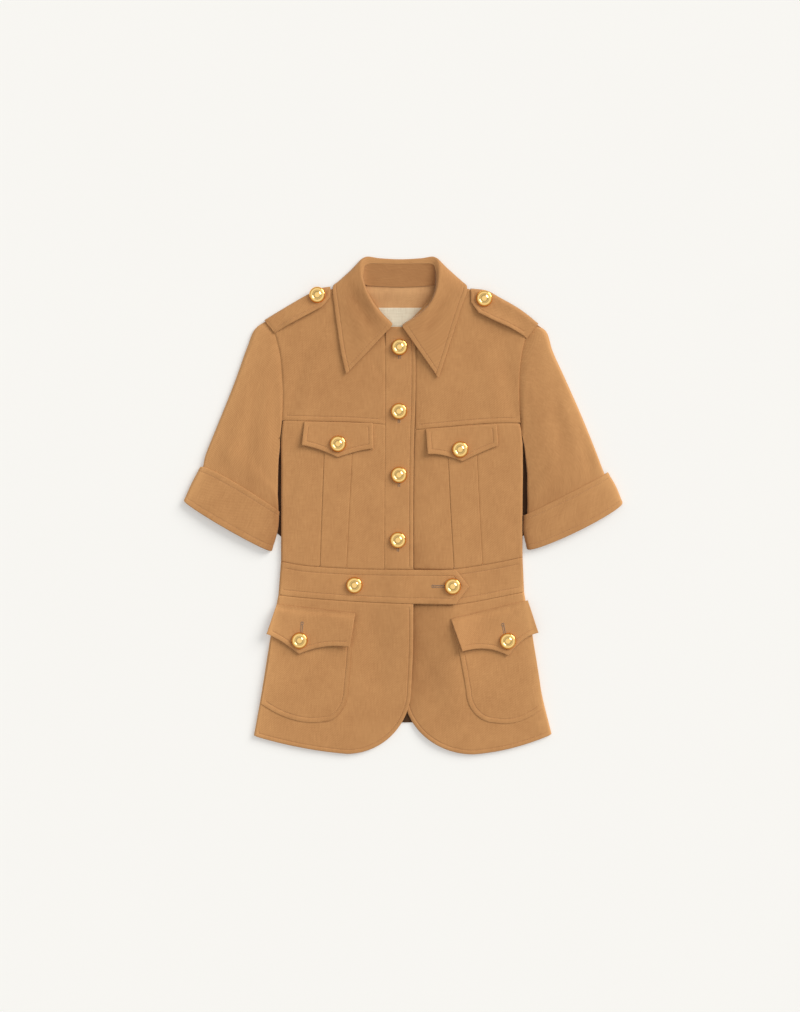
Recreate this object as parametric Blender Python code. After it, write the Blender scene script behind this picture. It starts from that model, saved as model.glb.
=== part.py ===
"""A short-sleeved belted jacket laid flat on its back, collar at the far end.

X runs across the body, the wearer's left side is +X. Y runs up the body and Z away from the
surface that it lies on. Sizes are in millimetres and become metres as each mesh is made.
"""

import math
from collections import namedtuple

import bmesh
import bpy
import numpy as np

for old in list(bpy.data.objects):
    bpy.data.objects.remove(old, do_unlink=True)

MM = 0.001

# Cloth and how it lies
WALL = 1.8
LAP_WALL = 1.5
COLLAR_WALL = 1.4
FACING_WALL = 1.0
SEAM = 0.3
LAP_CLEAR = 0.7
BACK_CLEAR = 1.2
LIE = 7.0
HEM_DROP = 0.8
HEM_DROP_FROM = -250.0
HEM_DROP_TO = -345.0
LAP_DIP = 2.3
PLEAT = 1.0
PLEAT_GROWS = (2.0, 24.0)
PLEAT_EDGE = 0.006
FLAP_LIFT = 0.8
NECK_RISE = COLLAR_WALL + SEAM
STRAP_ROLL = LIE / 2 + SEAM + WALL

# Where the left side dips under the lapped front
DIP_START = 44.0
DIP_END = 19.0
DIP_TOP = 252.0
DIP_FULL = 214.0

# Where the back rises over the folded collar
RISE_START = 280.0
RISE_FULL = 298.0
RISE_REACH = (125.0, 100.0)

# Buttons
BUTTON_RADIUS = 11.2
BUTTON_SIDES = 16

Spot = namedtuple("Spot", "x y")
Section = namedtuple("Section", "side_x side_y edge_x edge_y")
TabEnd = namedtuple("TabEnd", "high_x high_y low_x low_y")
Armhole = namedtuple("Armhole", "shoulder underarm bow")
PleatLine = namedtuple("PleatLine", "top low")
Round = namedtuple("Round", "centre radii side_end sag")
Fold = namedtuple("Fold", "x y heading length width height")
Ring = namedtuple("Ring", "outer_x outer_y inner_x inner_y bow height base")
Flap = namedtuple("Flap", "top_a top_b low_a low_b point depth curve_a curve_b")
Collar = namedtuple(
    "Collar",
    "seam_x seam_y seam_z top_x top_y top_z fold_x fold_y fold_z edge_x edge_y edge_z hang",
)
Button = namedtuple("Button", "name x y on")
Turn = namedtuple("Turn", "share height")
Finish = namedtuple("Finish", "colour roughness metallic")

# Largest soft folds of the fronts, ridges up and troughs down
FOLDS = (
    Fold(-152.0, 150.0, 68.0, 34.0, 10.0, -0.7),
    Fold(-133.0, 165.0, 75.0, 40.0, 12.0, 0.5),
    Fold(147.0, 185.0, 98.0, 48.0, 12.0, -0.7),
    Fold(125.0, 160.0, 95.0, 45.0, 14.0, 0.5),
    Fold(-140.0, 10.0, 92.0, 70.0, 14.0, 0.5),
    Fold(138.0, 5.0, 88.0, 70.0, 14.0, 0.5),
    Fold(-30.0, -235.0, 84.0, 60.0, 18.0, -0.5),
    Fold(50.0, -230.0, 100.0, 70.0, 14.0, -0.6),
)

# Armholes as rings of the sleeves see them, shoulder point to underarm, and how far they bow
ARM_RIGHT = Armhole(Spot(-195.6, 256.9), Spot(-172.4, 90.3), 43.0)
ARM_LEFT = Armhole(Spot(188.7, 254.1), Spot(167.6, 90.3), -46.0)

# Seams that two pieces share, from the side to the front edge
SHOULDER_RIGHT = (
    Spot(-187.4, 257.8),
    Spot(-157.5, 278.8),
    Spot(-131.0, 293.4),
    Spot(-112.7, 300.6),
    Spot(-97.0, 301.0),
    Spot(-60.0, 310.0),
)
SHOULDER_LEFT = (
    Spot(180.6, 255.0),
    Spot(162.5, 272.0),
    Spot(134.5, 287.6),
    Spot(118.0, 296.0),
    Spot(94.0, 298.4),
    Spot(54.0, 310.0),
)
YOKE_SEAM_RIGHT = (
    Spot(-168.6, 118.9),
    Spot(-120.0, 117.6),
    Spot(-70.0, 116.4),
    Spot(-25.4, 113.4),
)
YOKE_SEAM_LEFT = (
    Spot(163.4, 114.1),
    Spot(129.9, 114.1),
    Spot(65.5, 109.9),
    Spot(16.5, 105.7),
    Spot(-22.0, 102.2),
)
WAIST_TOP_RIGHT = (
    Spot(-171.0, -78.4),
    Spot(-144.5, -83.3),
    Spot(-102.5, -86.9),
    Spot(-60.0, -89.0),
    Spot(-26.5, -89.6),
)
WAIST_TOP_LEFT = (
    Spot(167.0, -72.5),
    Spot(135.5, -79.1),
    Spot(107.5, -84.0),
    Spot(74.0, -88.8),
    Spot(-22.0, -89.2),
)
WAIST_LOW_RIGHT = (
    Spot(-174.6, -124.9),
    Spot(-144.5, -128.1),
    Spot(-102.5, -131.6),
    Spot(-60.0, -134.3),
    Spot(14.0, -137.2),
)
WAIST_LOW_LEFT = (
    Spot(169.1, -120.8),
    Spot(135.5, -127.4),
    Spot(107.5, -133.0),
    Spot(73.9, -137.9),
    Spot(-2.0, -137.6),
)
YOKE_RIGHT_EDGE = (
    Spot(-60.0, 310.0),
    Spot(-53.5, 301.0),
    Spot(-44.5, 286.5),
    Spot(-35.0, 272.0),
    Spot(-29.0, 262.0),
    Spot(-26.2, 248.0),
    Spot(-25.4, 225.0),
    Spot(-25.4, 170.0),
    Spot(-25.4, 113.4),
)
YOKE_RIGHT_ARM = (0.022, 0.045, 0.09, 0.15, 0.21, 0.29, 0.41, 0.61, 0.83)
YOKE_LEFT_EDGE = (
    Spot(54.0, 310.0),
    Spot(47.8, 301.0),
    Spot(38.5, 287.0),
    Spot(27.0, 273.0),
    Spot(12.0, 260.0),
    Spot(-8.0, 248.0),
    Spot(-22.0, 225.0),
    Spot(-22.0, 170.0),
    Spot(-22.0, 102.2),
)
YOKE_LEFT_ARM = (0.022, 0.045, 0.09, 0.15, 0.21, 0.29, 0.41, 0.61, 0.84)

FRONT_RIGHT = (
    Section(-168.6, 118.9, -25.4, 113.4),
    Section(-170.0, 92.0, -25.2, 88.0),
    Section(-170.8, 60.0, -25.6, 50.0),
    Section(-170.9, 0.0, -26.2, -10.0),
    Section(-170.9, -45.0, -26.5, -55.0),
    Section(-171.0, -78.4, -26.5, -89.6),
)
FRONT_LEFT = (
    Section(163.4, 114.1, -22.0, 102.2),
    Section(165.6, 92.0, -22.0, 80.0),
    Section(166.7, 60.0, -22.0, 45.0),
    Section(167.0, 0.0, -22.0, -10.0),
    Section(167.0, -45.0, -22.0, -58.0),
    Section(167.0, -72.5, -22.0, -89.2),
)
# Pleat fold lines as shares of the way across a front, at its top and at the band
PLEAT_RIGHT = (PleatLine(0.405, 0.382), PleatLine(0.672, 0.645))
PLEAT_LEFT = (PleatLine(0.330, 0.292), PleatLine(0.553, 0.508))

PLACKET = (
    Section(-24.5, 249.5, 17.2, 249.5),
    Section(-24.5, 160.0, 17.2, 160.0),
    Section(-25.0, 80.0, 15.0, 80.0),
    Section(-25.8, 0.0, 14.0, 0.0),
    Section(-26.1, -89.2, 14.0, -89.6),
)
BAND_TAB = (
    TabEnd(16.5, -90.0, 16.5, -137.0),
    TabEnd(74.0, -90.3, 73.0, -137.8),
    TabEnd(91.8, -111.5, 91.8, -114.5),
)
TAB_STEPS = (0.34, 0.67, 1.0)

SKIRT_RIGHT = (
    Section(-174.6, -124.9, 14.0, -137.2),
    Section(-179.5, -150.0, 13.9, -163.0),
    Section(-186.0, -185.5, 13.7, -195.0),
    Section(-191.8, -222.0, 13.1, -226.0),
    Section(-197.0, -255.0, 12.3, -255.5),
)
SKIRT_LEFT = (
    Section(169.1, -120.8, -2.0, -137.6),
    Section(173.8, -148.0, -2.0, -165.0),
    Section(180.3, -180.0, -1.6, -195.0),
    Section(187.0, -220.0, -1.0, -228.0),
    Section(192.9, -258.3, -0.3, -258.3),
)
# Rounded front hems: centre of the round, its two radii, the low end of the side and the hem sag
HEM_RIGHT = Round(Spot(-78.7, -255.5), Spot(91.0, 91.7), Spot(-208.9, -322.0), 3.6)
HEM_LEFT = Round(Spot(97.7, -258.3), Spot(-98.0, 89.6), Spot(207.6, -319.9), 5.0)

POCKET_RIGHT = (
    Section(-178.5, -151.0, -68.3, -163.0),
    Section(-183.7, -184.1, -71.3, -195.3),
    Section(-188.6, -219.1, -73.8, -227.5),
    Section(-194.2, -251.3, -76.6, -255.5),
)
POCKET_LEFT = (
    Section(176.2, -144.5, 68.6, -170.0),
    Section(181.0, -184.1, 76.7, -198.1),
    Section(187.3, -223.3, 83.0, -230.3),
    Section(192.0, -255.5, 87.9, -258.3),
)
POCKET_LOW_RIGHT = Round(Spot(-110.9, -255.5), Spot(34.3, 46.6), Spot(-198.7, -276.9), 9.5)
POCKET_LOW_LEFT = Round(Spot(128.5, -258.3), Spot(-40.6, 45.2), Spot(194.6, -283.0), 8.5)

# Flaps: ends of the top and of the lower edge, where the point is and how far it hangs
CHEST_FLAP_RIGHT = Flap(
    Spot(-138.2, 117.4), Spot(-42.3, 115.3), Spot(-141.7, 84.0), Spot(-41.6, 79.1),
    0.503, 14.5, 1.5, 1.4)
CHEST_FLAP_LEFT = Flap(
    Spot(31.2, 107.4), Spot(130.6, 113.8), Spot(34.0, 71.4), Spot(132.7, 83.3),
    0.489, 16.0, 1.7, 1.2)
HIP_FLAP_RIGHT = Flap(
    Spot(-176.7, -137.9), Spot(-66.8, -150.1), Spot(-190.7, -179.2), Spot(-74.5, -197.4),
    0.39, 21.0, 1.35, 2.0)
HIP_FLAP_LEFT = Flap(
    Spot(66.2, -157.9), Spot(174.0, -132.3), Spot(82.3, -203.0), Spot(188.7, -177.5),
    0.605, 22.4, 2.3, 2.2)

SLEEVE_RIGHT = (
    Ring(-195.6, 256.9, -172.4, 90.3, 43.0, LIE, 0.0),
    Ring(-207.5, 246.4, -172.4, 81.9, 36.0, LIE, 0.0),
    Ring(-217.3, 223.3, -173.0, 67.9, 29.0, LIE, 0.0),
    Ring(-235.5, 172.9, -173.6, 46.9, 22.0, LIE, 0.0),
    Ring(-260.7, 109.9, -173.9, 23.1, 16.0, LIE, 0.0),
    Ring(-269.0, 89.5, -174.2, 15.0, 15.0, LIE, 1.0),
    Ring(-277.0, 68.5, -175.0, 6.0, 14.0, LIE, 2.1),
    Ring(-280.4, 52.0, -176.9, -7.0, 13.0, LIE, 2.1),
    Ring(-300.6, 11.2, -186.5, -56.0, -10.0, LIE, 2.1),
)
SLEEVE_LEFT = (
    Ring(188.7, 254.1, 167.6, 90.3, 46.0, LIE, 0.0),
    Ring(199.2, 244.3, 170.6, 85.0, 38.0, LIE, 0.0),
    Ring(208.3, 217.7, 171.9, 70.7, 30.0, LIE, 0.0),
    Ring(226.5, 177.1, 173.0, 46.9, 20.0, LIE, 0.0),
    Ring(251.7, 119.7, 173.3, 21.7, 10.0, LIE, 0.0),
    Ring(262.5, 93.0, 173.5, 12.0, 5.0, LIE, 1.0),
    Ring(271.5, 70.0, 173.7, 2.0, 1.0, LIE, 2.1),
    Ring(279.8, 48.0, 173.2, -10.0, -4.0, LIE, 2.1),
    Ring(301.0, 8.4, 175.0, -55.3, -12.0, LIE, 2.1),
)
CUFF_HEIGHT = LIE + 2 * (WALL + SEAM) + SEAM
CUFF_RIGHT = (
    Ring(-283.8, 53.9, -173.0, -8.0, 13.0, CUFF_HEIGHT, 0.0),
    Ring(-295.7, 31.5, -175.2, -34.3, 2.0, CUFF_HEIGHT, 0.0),
    Ring(-306.6, 7.0, -183.7, -63.7, -10.0, CUFF_HEIGHT, 0.0),
)
CUFF_LEFT = (
    Ring(286.0, 46.9, 168.6, -13.3, -5.0, CUFF_HEIGHT, 0.0),
    Ring(297.9, 25.9, 169.0, -37.1, -8.0, CUFF_HEIGHT, 0.0),
    Ring(306.6, 4.2, 172.6, -61.6, -12.0, CUFF_HEIGHT, 0.0),
)

STRAP_RIGHT = (
    Section(-193.2, 260.3, -179.5, 240.5),
    Section(-179.5, 268.8, -162.7, 250.6),
    Section(-158.5, 281.0, -144.5, 260.4),
    Section(-132.0, 296.0, -126.3, 269.5),
    Section(-113.7, 304.4, -113.2, 277.0),
    Section(-106.0, 305.8, -106.0, 283.0),
    Section(-101.8, 306.2, -101.6, 291.0),
)
STRAP_LEFT = (
    Section(187.0, 256.0, 170.6, 235.0),
    Section(177.0, 264.5, 160.0, 241.8),
    Section(163.6, 274.4, 148.0, 248.4),
    Section(135.6, 290.6, 126.0, 258.4),
    Section(117.5, 300.4, 107.5, 267.6),
    Section(101.0, 303.0, 98.5, 275.0),
    Section(94.0, 303.6, 94.3, 287.0),
)

# Collar sections from the middle of the back to a front end: neck seam, top of the stand, fold and
# outer edge, and how straight the cloth hangs from the fold to the edge
COLLAR_RIGHT = (
    Collar(-3.8, 305.5, 4.9, -3.8, 337.5, 4.4, -3.8, 346.3, 2.3, -3.8, 300.3, 0.0, 14.0),
    Collar(-34.0, 306.5, 4.9, -33.0, 337.8, 4.4, -32.5, 346.8, 2.3, -43.7, 300.3, 0.0, 14.0),
    Collar(-46.5, 307.5, 5.4, -46.0, 336.5, 5.4, -48.5, 347.5, 3.4, -75.0, 301.7, 0.0, 9.0),
    Collar(-49.6, 308.5, 6.6, -50.3, 331.5, 7.4, -55.2, 343.0, 6.6, -94.6, 309.0, 3.0, 2.4),
    Collar(-50.6, 306.5, 7.4, -51.4, 324.5, 8.6, -56.0, 335.5, 9.2, -98.2, 306.3, 7.2, 1.4),
    Collar(-50.6, 303.0, 7.6, -52.0, 317.5, 9.6, -55.6, 327.0, 11.5, -97.8, 299.0, 9.4, 1.2),
    Collar(-48.0, 295.5, 7.6, -49.8, 303.5, 11.0, -52.6, 308.7, 15.0, -95.5, 283.5, 9.4, 1.2),
    Collar(-40.8, 283.4, 7.6, -41.4, 285.0, 12.0, -43.7, 285.6, 16.5, -89.9, 251.3, 9.3, 1.2),
    Collar(-29.4, 268.8, 7.6, -29.4, 269.4, 11.4, -31.1, 268.1, 15.5, -83.6, 213.5, 9.2, 1.2),
    Collar(-15.6, 255.4, 7.6, -15.4, 255.6, 9.4, -14.3, 252.4, 12.5, -77.0, 184.4, 9.2, 1.1),
)
COLLAR_LEFT = (
    Collar(-3.8, 305.5, 4.9, -3.8, 337.5, 4.4, -3.8, 346.3, 2.3, -3.8, 300.3, 0.0, 14.0),
    Collar(26.4, 306.5, 4.9, 25.4, 337.8, 4.4, 24.9, 346.8, 2.3, 36.1, 300.3, 0.0, 14.0),
    Collar(38.9, 307.5, 5.4, 38.4, 336.5, 5.4, 41.0, 347.5, 3.4, 67.5, 301.7, 0.0, 9.0),
    Collar(42.0, 308.5, 6.6, 42.7, 331.5, 7.4, 47.6, 343.0, 6.6, 87.6, 308.6, 3.0, 2.4),
    Collar(43.2, 306.5, 7.4, 44.4, 324.5, 8.6, 49.3, 335.5, 9.2, 91.0, 305.4, 7.2, 1.4),
    Collar(43.4, 303.0, 7.6, 45.4, 317.5, 9.6, 49.6, 327.0, 11.5, 90.3, 297.5, 9.4, 1.2),
    Collar(41.4, 295.5, 7.6, 43.8, 303.5, 11.0, 47.3, 308.7, 15.0, 84.4, 280.7, 9.4, 1.2),
    Collar(34.0, 284.4, 7.6, 35.2, 286.2, 12.0, 37.5, 287.0, 16.5, 75.3, 251.3, 9.3, 1.2),
    Collar(19.0, 270.4, 7.6, 19.0, 271.0, 11.4, 20.7, 269.5, 15.5, 62.7, 214.9, 9.2, 1.2),
    Collar(-0.8, 254.8, 7.6, -1.0, 255.0, 9.4, -2.4, 251.4, 12.5, 48.0, 180.0, 9.2, 1.1),
)
FACING = (
    Section(-56.0, 304.0, 50.0, 304.0),
    Section(-54.0, 285.0, 49.0, 285.0),
    Section(-46.0, 262.0, 42.0, 262.0),
    Section(-34.0, 250.5, 30.0, 250.5),
)
LABEL = (Section(-35.0, 276.5, 29.0, 276.5), Section(-35.0, 251.0, 29.0, 251.0))

BACK_BODICE = (
    Section(-97.0, 295.6, 93.5, 293.2),
    Section(-131.0, 285.8, 134.0, 280.4),
    Section(-159.0, 269.6, 160.5, 264.4),
    Section(-182.5, 253.0, 176.4, 250.4),
    Section(-178.6, 240.0, 171.0, 238.0),
    Section(-173.0, 222.0, 165.6, 220.0),
    Section(-169.0, 196.0, 161.8, 194.0),
    Section(-167.0, 150.0, 160.6, 148.0),
    Section(-166.0, 130.0, 160.2, 128.0),
    Section(-164.5, 118.0, 159.2, 116.0),
    Section(-164.6, 102.0, 160.0, 100.0),
    Section(-166.2, 80.0, 162.0, 76.0),
    Section(-166.8, 0.0, 162.8, 0.0),
    Section(-166.9, -77.5, 162.8, -77.5),
)
BACK_BAND = (Section(-166.9, -77.8, 162.8, -77.8), Section(-170.4, -124.0, 164.8, -124.0))
BACK_SKIRT = (
    Section(-170.4, -124.3, 164.8, -124.3),
    Section(-182.0, -185.0, 176.4, -182.0),
    Section(-192.0, -250.0, 187.4, -250.0),
    Section(-204.0, -318.5, 202.6, -316.5),
)
BACK_HEM_RISE = 14.0

BUTTONS = (
    Button("placket_1", -5.2, 221.2, "lap"),
    Button("placket_2", -5.9, 131.6, "lap"),
    Button("placket_3", -5.9, 42.7, "lap"),
    Button("placket_4", -7.3, -48.3, "lap"),
    Button("chest_right", -91.0, 86.1, "chest"),
    Button("chest_left", 79.5, 78.1, "chest"),
    Button("band_right", -68.2, -111.3, "lap"),
    Button("band_left", 69.0, -112.7, "tab"),
    Button("hip_right", -144.5, -188.3, "hip"),
    Button("hip_left", 146.0, -189.0, "hip"),
    Button("strap_right", -120.0, 294.0, "strap"),
    Button("strap_left", 113.1, 289.0, "strap"),
)
# Turned outline of a button, share of the radius and height above its back
BUTTON_PROFILE = (
    Turn(0.0, 0.0),
    Turn(0.86, 0.0),
    Turn(1.0, 0.8),
    Turn(1.0, 2.0),
    Turn(0.9, 2.8),
    Turn(0.74, 3.0),
    Turn(0.42, 4.5),
    Turn(0.0, 5.0),
)

FINISHES = {
    "tan_cloth": Finish((0.503, 0.254, 0.105), 0.85, 0.0),
    "stand_cloth": Finish((0.330, 0.158, 0.062), 0.85, 0.0),
    "facing_cloth": Finish((0.560, 0.330, 0.160), 0.80, 0.0),
    "label_cloth": Finish((0.780, 0.640, 0.440), 0.75, 0.0),
    "gold_metal": Finish((0.830, 0.610, 0.260), 0.25, 1.0),
}


def ramp(value, start, end):
    """Rise smoothly from 0 at start to 1 at end."""
    share = np.clip((np.asarray(value, float) - start) / (end - start), 0.0, 1.0)
    return share * share * (3.0 - 2.0 * share)


def through(rows, count):
    """Smooth curve through rows of numbers, evenly spaced along its length."""
    rows = np.array(rows, float)
    steps = np.linalg.norm(np.diff(rows, axis=0), axis=1)
    knots = np.concatenate([[0.0], np.cumsum(steps)])
    slopes = np.gradient(rows, knots, axis=0)
    at = np.linspace(0.0, knots[-1], count)
    index = np.clip(np.searchsorted(knots, at, side="right") - 1, 0, len(rows) - 2)
    span = (knots[index + 1] - knots[index])[:, None]
    share = (at - knots[index])[:, None] / span
    square = share * share
    cube = square * share
    start = (2 * cube - 3 * square + 1) * rows[index] + (cube - 2 * square + share) * span * slopes[index]
    end = (3 * square - 2 * cube) * rows[index + 1] + (cube - square) * span * slopes[index + 1]
    return start + end


def folds(x, y):
    """Height of the soft folds at points of the fronts."""
    total = np.zeros_like(x)
    for fold in FOLDS:
        turn = math.radians(fold.heading)
        along = (x - fold.x) * math.cos(turn) + (y - fold.y) * math.sin(turn)
        aside = (y - fold.y) * math.cos(turn) - (x - fold.x) * math.sin(turn)
        total += fold.height * np.exp(-((along / fold.length) ** 2) - (aside / fold.width) ** 2)
    return total


def right_top(x, y):
    """Outer face of the right front above the surface."""
    return LIE - HEM_DROP * ramp(-y, -HEM_DROP_FROM, -HEM_DROP_TO) + folds(x, y)


def left_top(x, y):
    """Outer face of the left front, which dips where the right front laps over it."""
    dip = LAP_DIP * ramp(-x, -DIP_START, -DIP_END) * ramp(-y, -DIP_TOP, -DIP_FULL)
    return LIE - HEM_DROP * ramp(-y, -HEM_DROP_FROM, -HEM_DROP_TO) + folds(x, y) - dip


def lap_top(x, y):
    """Outer face of what laps over the left front: the placket and the tab of the band."""
    return np.maximum(right_top(x, y), left_top(x, y) + LAP_CLEAR + WALL)


def neck_base(x, y):
    """Height of the underside where the back and shoulders rise over the folded collar."""
    reach = 1.0 - ramp(np.abs(x), RISE_REACH[1], RISE_REACH[0])
    return NECK_RISE * ramp(y, RISE_START, RISE_FULL) * reach


def back_top(x, y):
    """Inner face of the back, seen through the neck."""
    return neck_base(x, y) + WALL


def pleat_height(y, seam_y):
    """How far a box pleat stands out, growing below the chest seam."""
    return PLEAT * ramp(seam_y - y, *PLEAT_GROWS)


def armhole(arm, share):
    """Point of an armhole line at a share of the way from the shoulder to the underarm."""
    reach_x = arm.underarm.x - arm.shoulder.x
    reach_y = arm.underarm.y - arm.shoulder.y
    length = math.hypot(reach_x, reach_y)
    out = arm.bow * math.sqrt(share) * (1.0 - share)
    x = arm.shoulder.x + reach_x * share - reach_y / length * out
    y = arm.shoulder.y + reach_y * share + reach_x / length * out
    return x, y


def plan(sections, rows, shares):
    """Plan points of a panel, rows from its head to its tail, shares of the way across."""
    lines = through(sections, rows)
    across = np.asarray(shares, float)
    if across.ndim == 1:
        across = np.tile(across, (rows, 1))
    across = across[..., None]
    return lines[:, None, 0:2] * (1.0 - across) + lines[:, None, 2:4] * across


def meet(points, head=None, tail=None, shift=0.7 * SEAM):
    """Draw the first and last rows of a panel onto shared seam lines, half a seam gap clear of them."""
    points = points.copy()
    down = np.linspace(0.0, 1.0, len(points))[:, None, None]
    for seam, row, fade, clear in ((head, 0, (1.0 - down) ** 2, -shift), (tail, -1, down ** 2, shift)):
        if seam is None:
            continue
        lengths = np.linalg.norm(points[row] - points[row, 0], axis=1)
        line = through(seam, 81)
        line_lengths = np.linalg.norm(line - line[0], axis=1)
        share = lengths / lengths[-1] * line_lengths[-1]
        target = np.stack([np.interp(share, line_lengths, line[:, axis]) for axis in (0, 1)], axis=1)
        target[:, 1] += clear
        points = points + (target - points[row])[None] * fade
    return points


def rounded(sections, low, steps):
    """Add the rows that follow a rounded lower corner from the last section to the hem."""
    last = sections[-1]
    rows = [tuple(row) + (0.0,) for row in sections]
    for step in range(1, steps + 1):
        turn = 0.5 * math.pi * step / steps
        share = step / steps
        rows.append((
            last.side_x + (low.side_end.x - last.side_x) * share,
            last.side_y + (low.side_end.y - last.side_y) * share,
            low.centre.x + low.radii.x * math.cos(turn),
            low.centre.y - low.radii.y * math.sin(turn),
            low.sag * share,
        ))
    return rows


def plan_rounded(sections, low, rows, columns):
    """Plan points of a panel with a rounded lower front corner."""
    lines = through(rounded(sections, low, 8), rows)
    across = np.linspace(0.0, 1.0, columns)[None, :, None]
    points = lines[:, None, 0:2] * (1.0 - across) + lines[:, None, 2:4] * across
    points[..., 1] -= (lines[:, None, 4:5] * 4.0 * across * (1.0 - across))[..., 0]
    return points


def plan_flap(flap, rows, columns):
    """Plan points of a flap whose lower edge runs down to a point."""
    across = np.linspace(0.0, 1.0, columns)
    nearest = np.argmin(np.abs(across - flap.point))
    across[nearest] = flap.point
    top = np.outer(1.0 - across, flap.top_a) + np.outer(across, flap.top_b)
    low = np.outer(1.0 - across, flap.low_a) + np.outer(across, flap.low_b)
    before = np.clip(across / flap.point, 0.0, 1.0) ** flap.curve_a
    after = np.clip((1.0 - across) / (1.0 - flap.point), 0.0, 1.0) ** flap.curve_b
    low[:, 1] -= flap.depth * np.where(across <= flap.point, before, after)
    down = np.linspace(0.0, 1.0, rows)[:, None, None]
    return top[None] * (1.0 - down) + low[None] * down


def raised(points, top):
    """Give plan points their height."""
    return np.concatenate([points, top(points[..., 0], points[..., 1])[..., None]], axis=2)


def rolled(face, radius=None, start=-90.0, steps=5):
    """Turn the first column of an outer face over and under in an arc, down to what it lies on."""
    edge = face[:, 0]
    inward = face[:, 1, :2] - face[:, 0, :2]
    inward /= np.linalg.norm(inward, axis=1)[:, None]
    if radius is None:
        radius = (edge[:, 2] - neck_base(edge[:, 0], edge[:, 1])) / 2
    radius = np.broadcast_to(radius, len(face))
    columns = []
    for turn in np.radians(np.linspace(start, 90.0, steps + 1))[:-1]:
        shift = radius * (1.0 - math.cos(turn))
        drop = radius * (1.0 - math.sin(turn))
        spots = edge[:, :2] + inward * shift[:, None]
        columns.append(np.column_stack([spots, edge[:, 2] - drop]))
    flat = face.copy()
    for row, path in enumerate(face):
        along = np.concatenate([[0.0], np.cumsum(np.linalg.norm(np.diff(path[:, :2], axis=0), axis=1))])
        at = radius[row] + (along[-1] - radius[row]) * along / along[-1]
        for axis in range(3):
            flat[row, :, axis] = np.interp(at, along, path[:, axis])
    return np.concatenate([np.stack(columns, axis=1), flat], axis=1)


def turned(face):
    """Swap rows and columns."""
    return face.transpose(1, 0, 2)


def finish(name):
    """Material of a finish, made once."""
    material = bpy.data.materials.get(name)
    if material is None:
        look = FINISHES[name]
        material = bpy.data.materials.new(name)
        material.use_nodes = True
        shader = material.node_tree.nodes["Principled BSDF"]
        shader.inputs["Base Color"].default_value = (*look.colour, 1.0)
        shader.inputs["Roughness"].default_value = look.roughness
        shader.inputs["Metallic"].default_value = look.metallic
        material.diffuse_color = (*look.colour, 1.0)
    return material


def placed(name, mesh, slot):
    """Put a mesh in the scene as a named piece."""
    mesh.materials.append(finish(slot))
    piece = bpy.data.objects.new(name, mesh)
    bpy.context.scene.collection.objects.link(piece)
    return piece


def sheet(name, face, wall=WALL, slot="tan_cloth", ring=False, up=None):
    """A wall of cloth whose outer face runs through a grid of points and whose thickness goes inward."""
    rows, columns = face.shape[:2]
    build = bmesh.new()
    grid = [[build.verts.new(point * MM) for point in row] for row in face]
    for row in range(rows - 1):
        for column in range(columns if ring else columns - 1):
            beside = (column + 1) % columns
            below = grid[row + 1]
            build.faces.new((grid[row][column], below[column], below[beside], grid[row][beside]))
    build.normal_update()
    facing = sum(item.normal.z * item.calc_area() for item in build.faces)
    if up is not None and (facing > 0.0) != up:
        bmesh.ops.reverse_faces(build, faces=build.faces)
    mesh = bpy.data.meshes.new(name)
    build.to_mesh(mesh)
    build.free()
    piece = placed(name, mesh, slot)
    thick = piece.modifiers.new("wall", "SOLIDIFY")
    thick.thickness = wall * MM
    thick.offset = -1.0
    thick.use_even_offset = False
    thick.use_rim = True
    return piece


def yoke(name, arm, arm_shares, edge, seam, shoulder, top):
    """Upper front: rows fan from the shoulder seam down to the chest seam."""
    clear = math.copysign(3 * SEAM, arm.bow)
    sections = []
    for share, point in zip(arm_shares, edge):
        x, y = armhole(arm, share)
        sections.append(Section(x + clear, y, *point))
    points = meet(plan(sections, 15, np.linspace(0.0, 1.0, 9)), head=shoulder, tail=seam)
    face = turned(rolled(turned(raised(points, top)), steps=4))
    return sheet(name, face, up=True)


def front(name, sections, pleat, seam, waist, top):
    """Front below the chest seam, with its box pleat standing out between two fold lines."""
    rows = 11
    shares = []
    for down in np.linspace(0.0, 1.0, rows):
        outer, inner = (line.top + (line.low - line.top) * down for line in pleat)
        ways = [0.0, 0.5 * outer, outer - PLEAT_EDGE, outer + PLEAT_EDGE, (outer + inner) / 2]
        ways += [inner - PLEAT_EDGE, inner + PLEAT_EDGE, (inner + 1.0) / 2, 1.0]
        shares.append(ways)
    points = meet(plan(sections, rows, shares), head=seam, tail=waist)
    face = raised(points, top)
    face[:, 3:6, 2] += pleat_height(points[:, 3:6, 1], points[0, 3:6, 1][None])
    return sheet(name, rolled(face), up=True)


def skirt(name, sections, low, waist, top):
    """Skirt front from the band to its hem, cut away in a round at the front."""
    points = meet(plan_rounded(sections, low, 14, 9), head=waist)
    return sheet(name, rolled(raised(points, top)), up=True)


def band(name, high, low, tab, top):
    """Waist band from the side seam to its front end, with the tab where it has one."""
    rows = [np.concatenate([a, b]) for a, b in zip(through(high, 12), through(low, 12))]
    for end in tab:
        last = rows[-1]
        for share in TAB_STEPS:
            rows.append(last + (np.array(end) - last) * share)
    rows = np.array(rows)
    across = np.linspace(0.0, 1.0, 4)[None, :, None]
    points = rows[:, None, 0:2] * (1.0 - across) + rows[:, None, 2:4] * across
    points[:, 0, 1] -= SEAM / 2
    points[:, -1, 1] += SEAM / 2
    return sheet(name, rolled(turned(raised(points, top))), up=True)


def pocket(name, sections, low, top):
    """Patch pocket lying on a skirt front, rounded at its lower corner."""
    face = raised(plan_rounded(sections, low, 12, 8), top)
    face[..., 2] += SEAM + LAP_WALL
    return sheet(name, face, wall=LAP_WALL, up=True)


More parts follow.
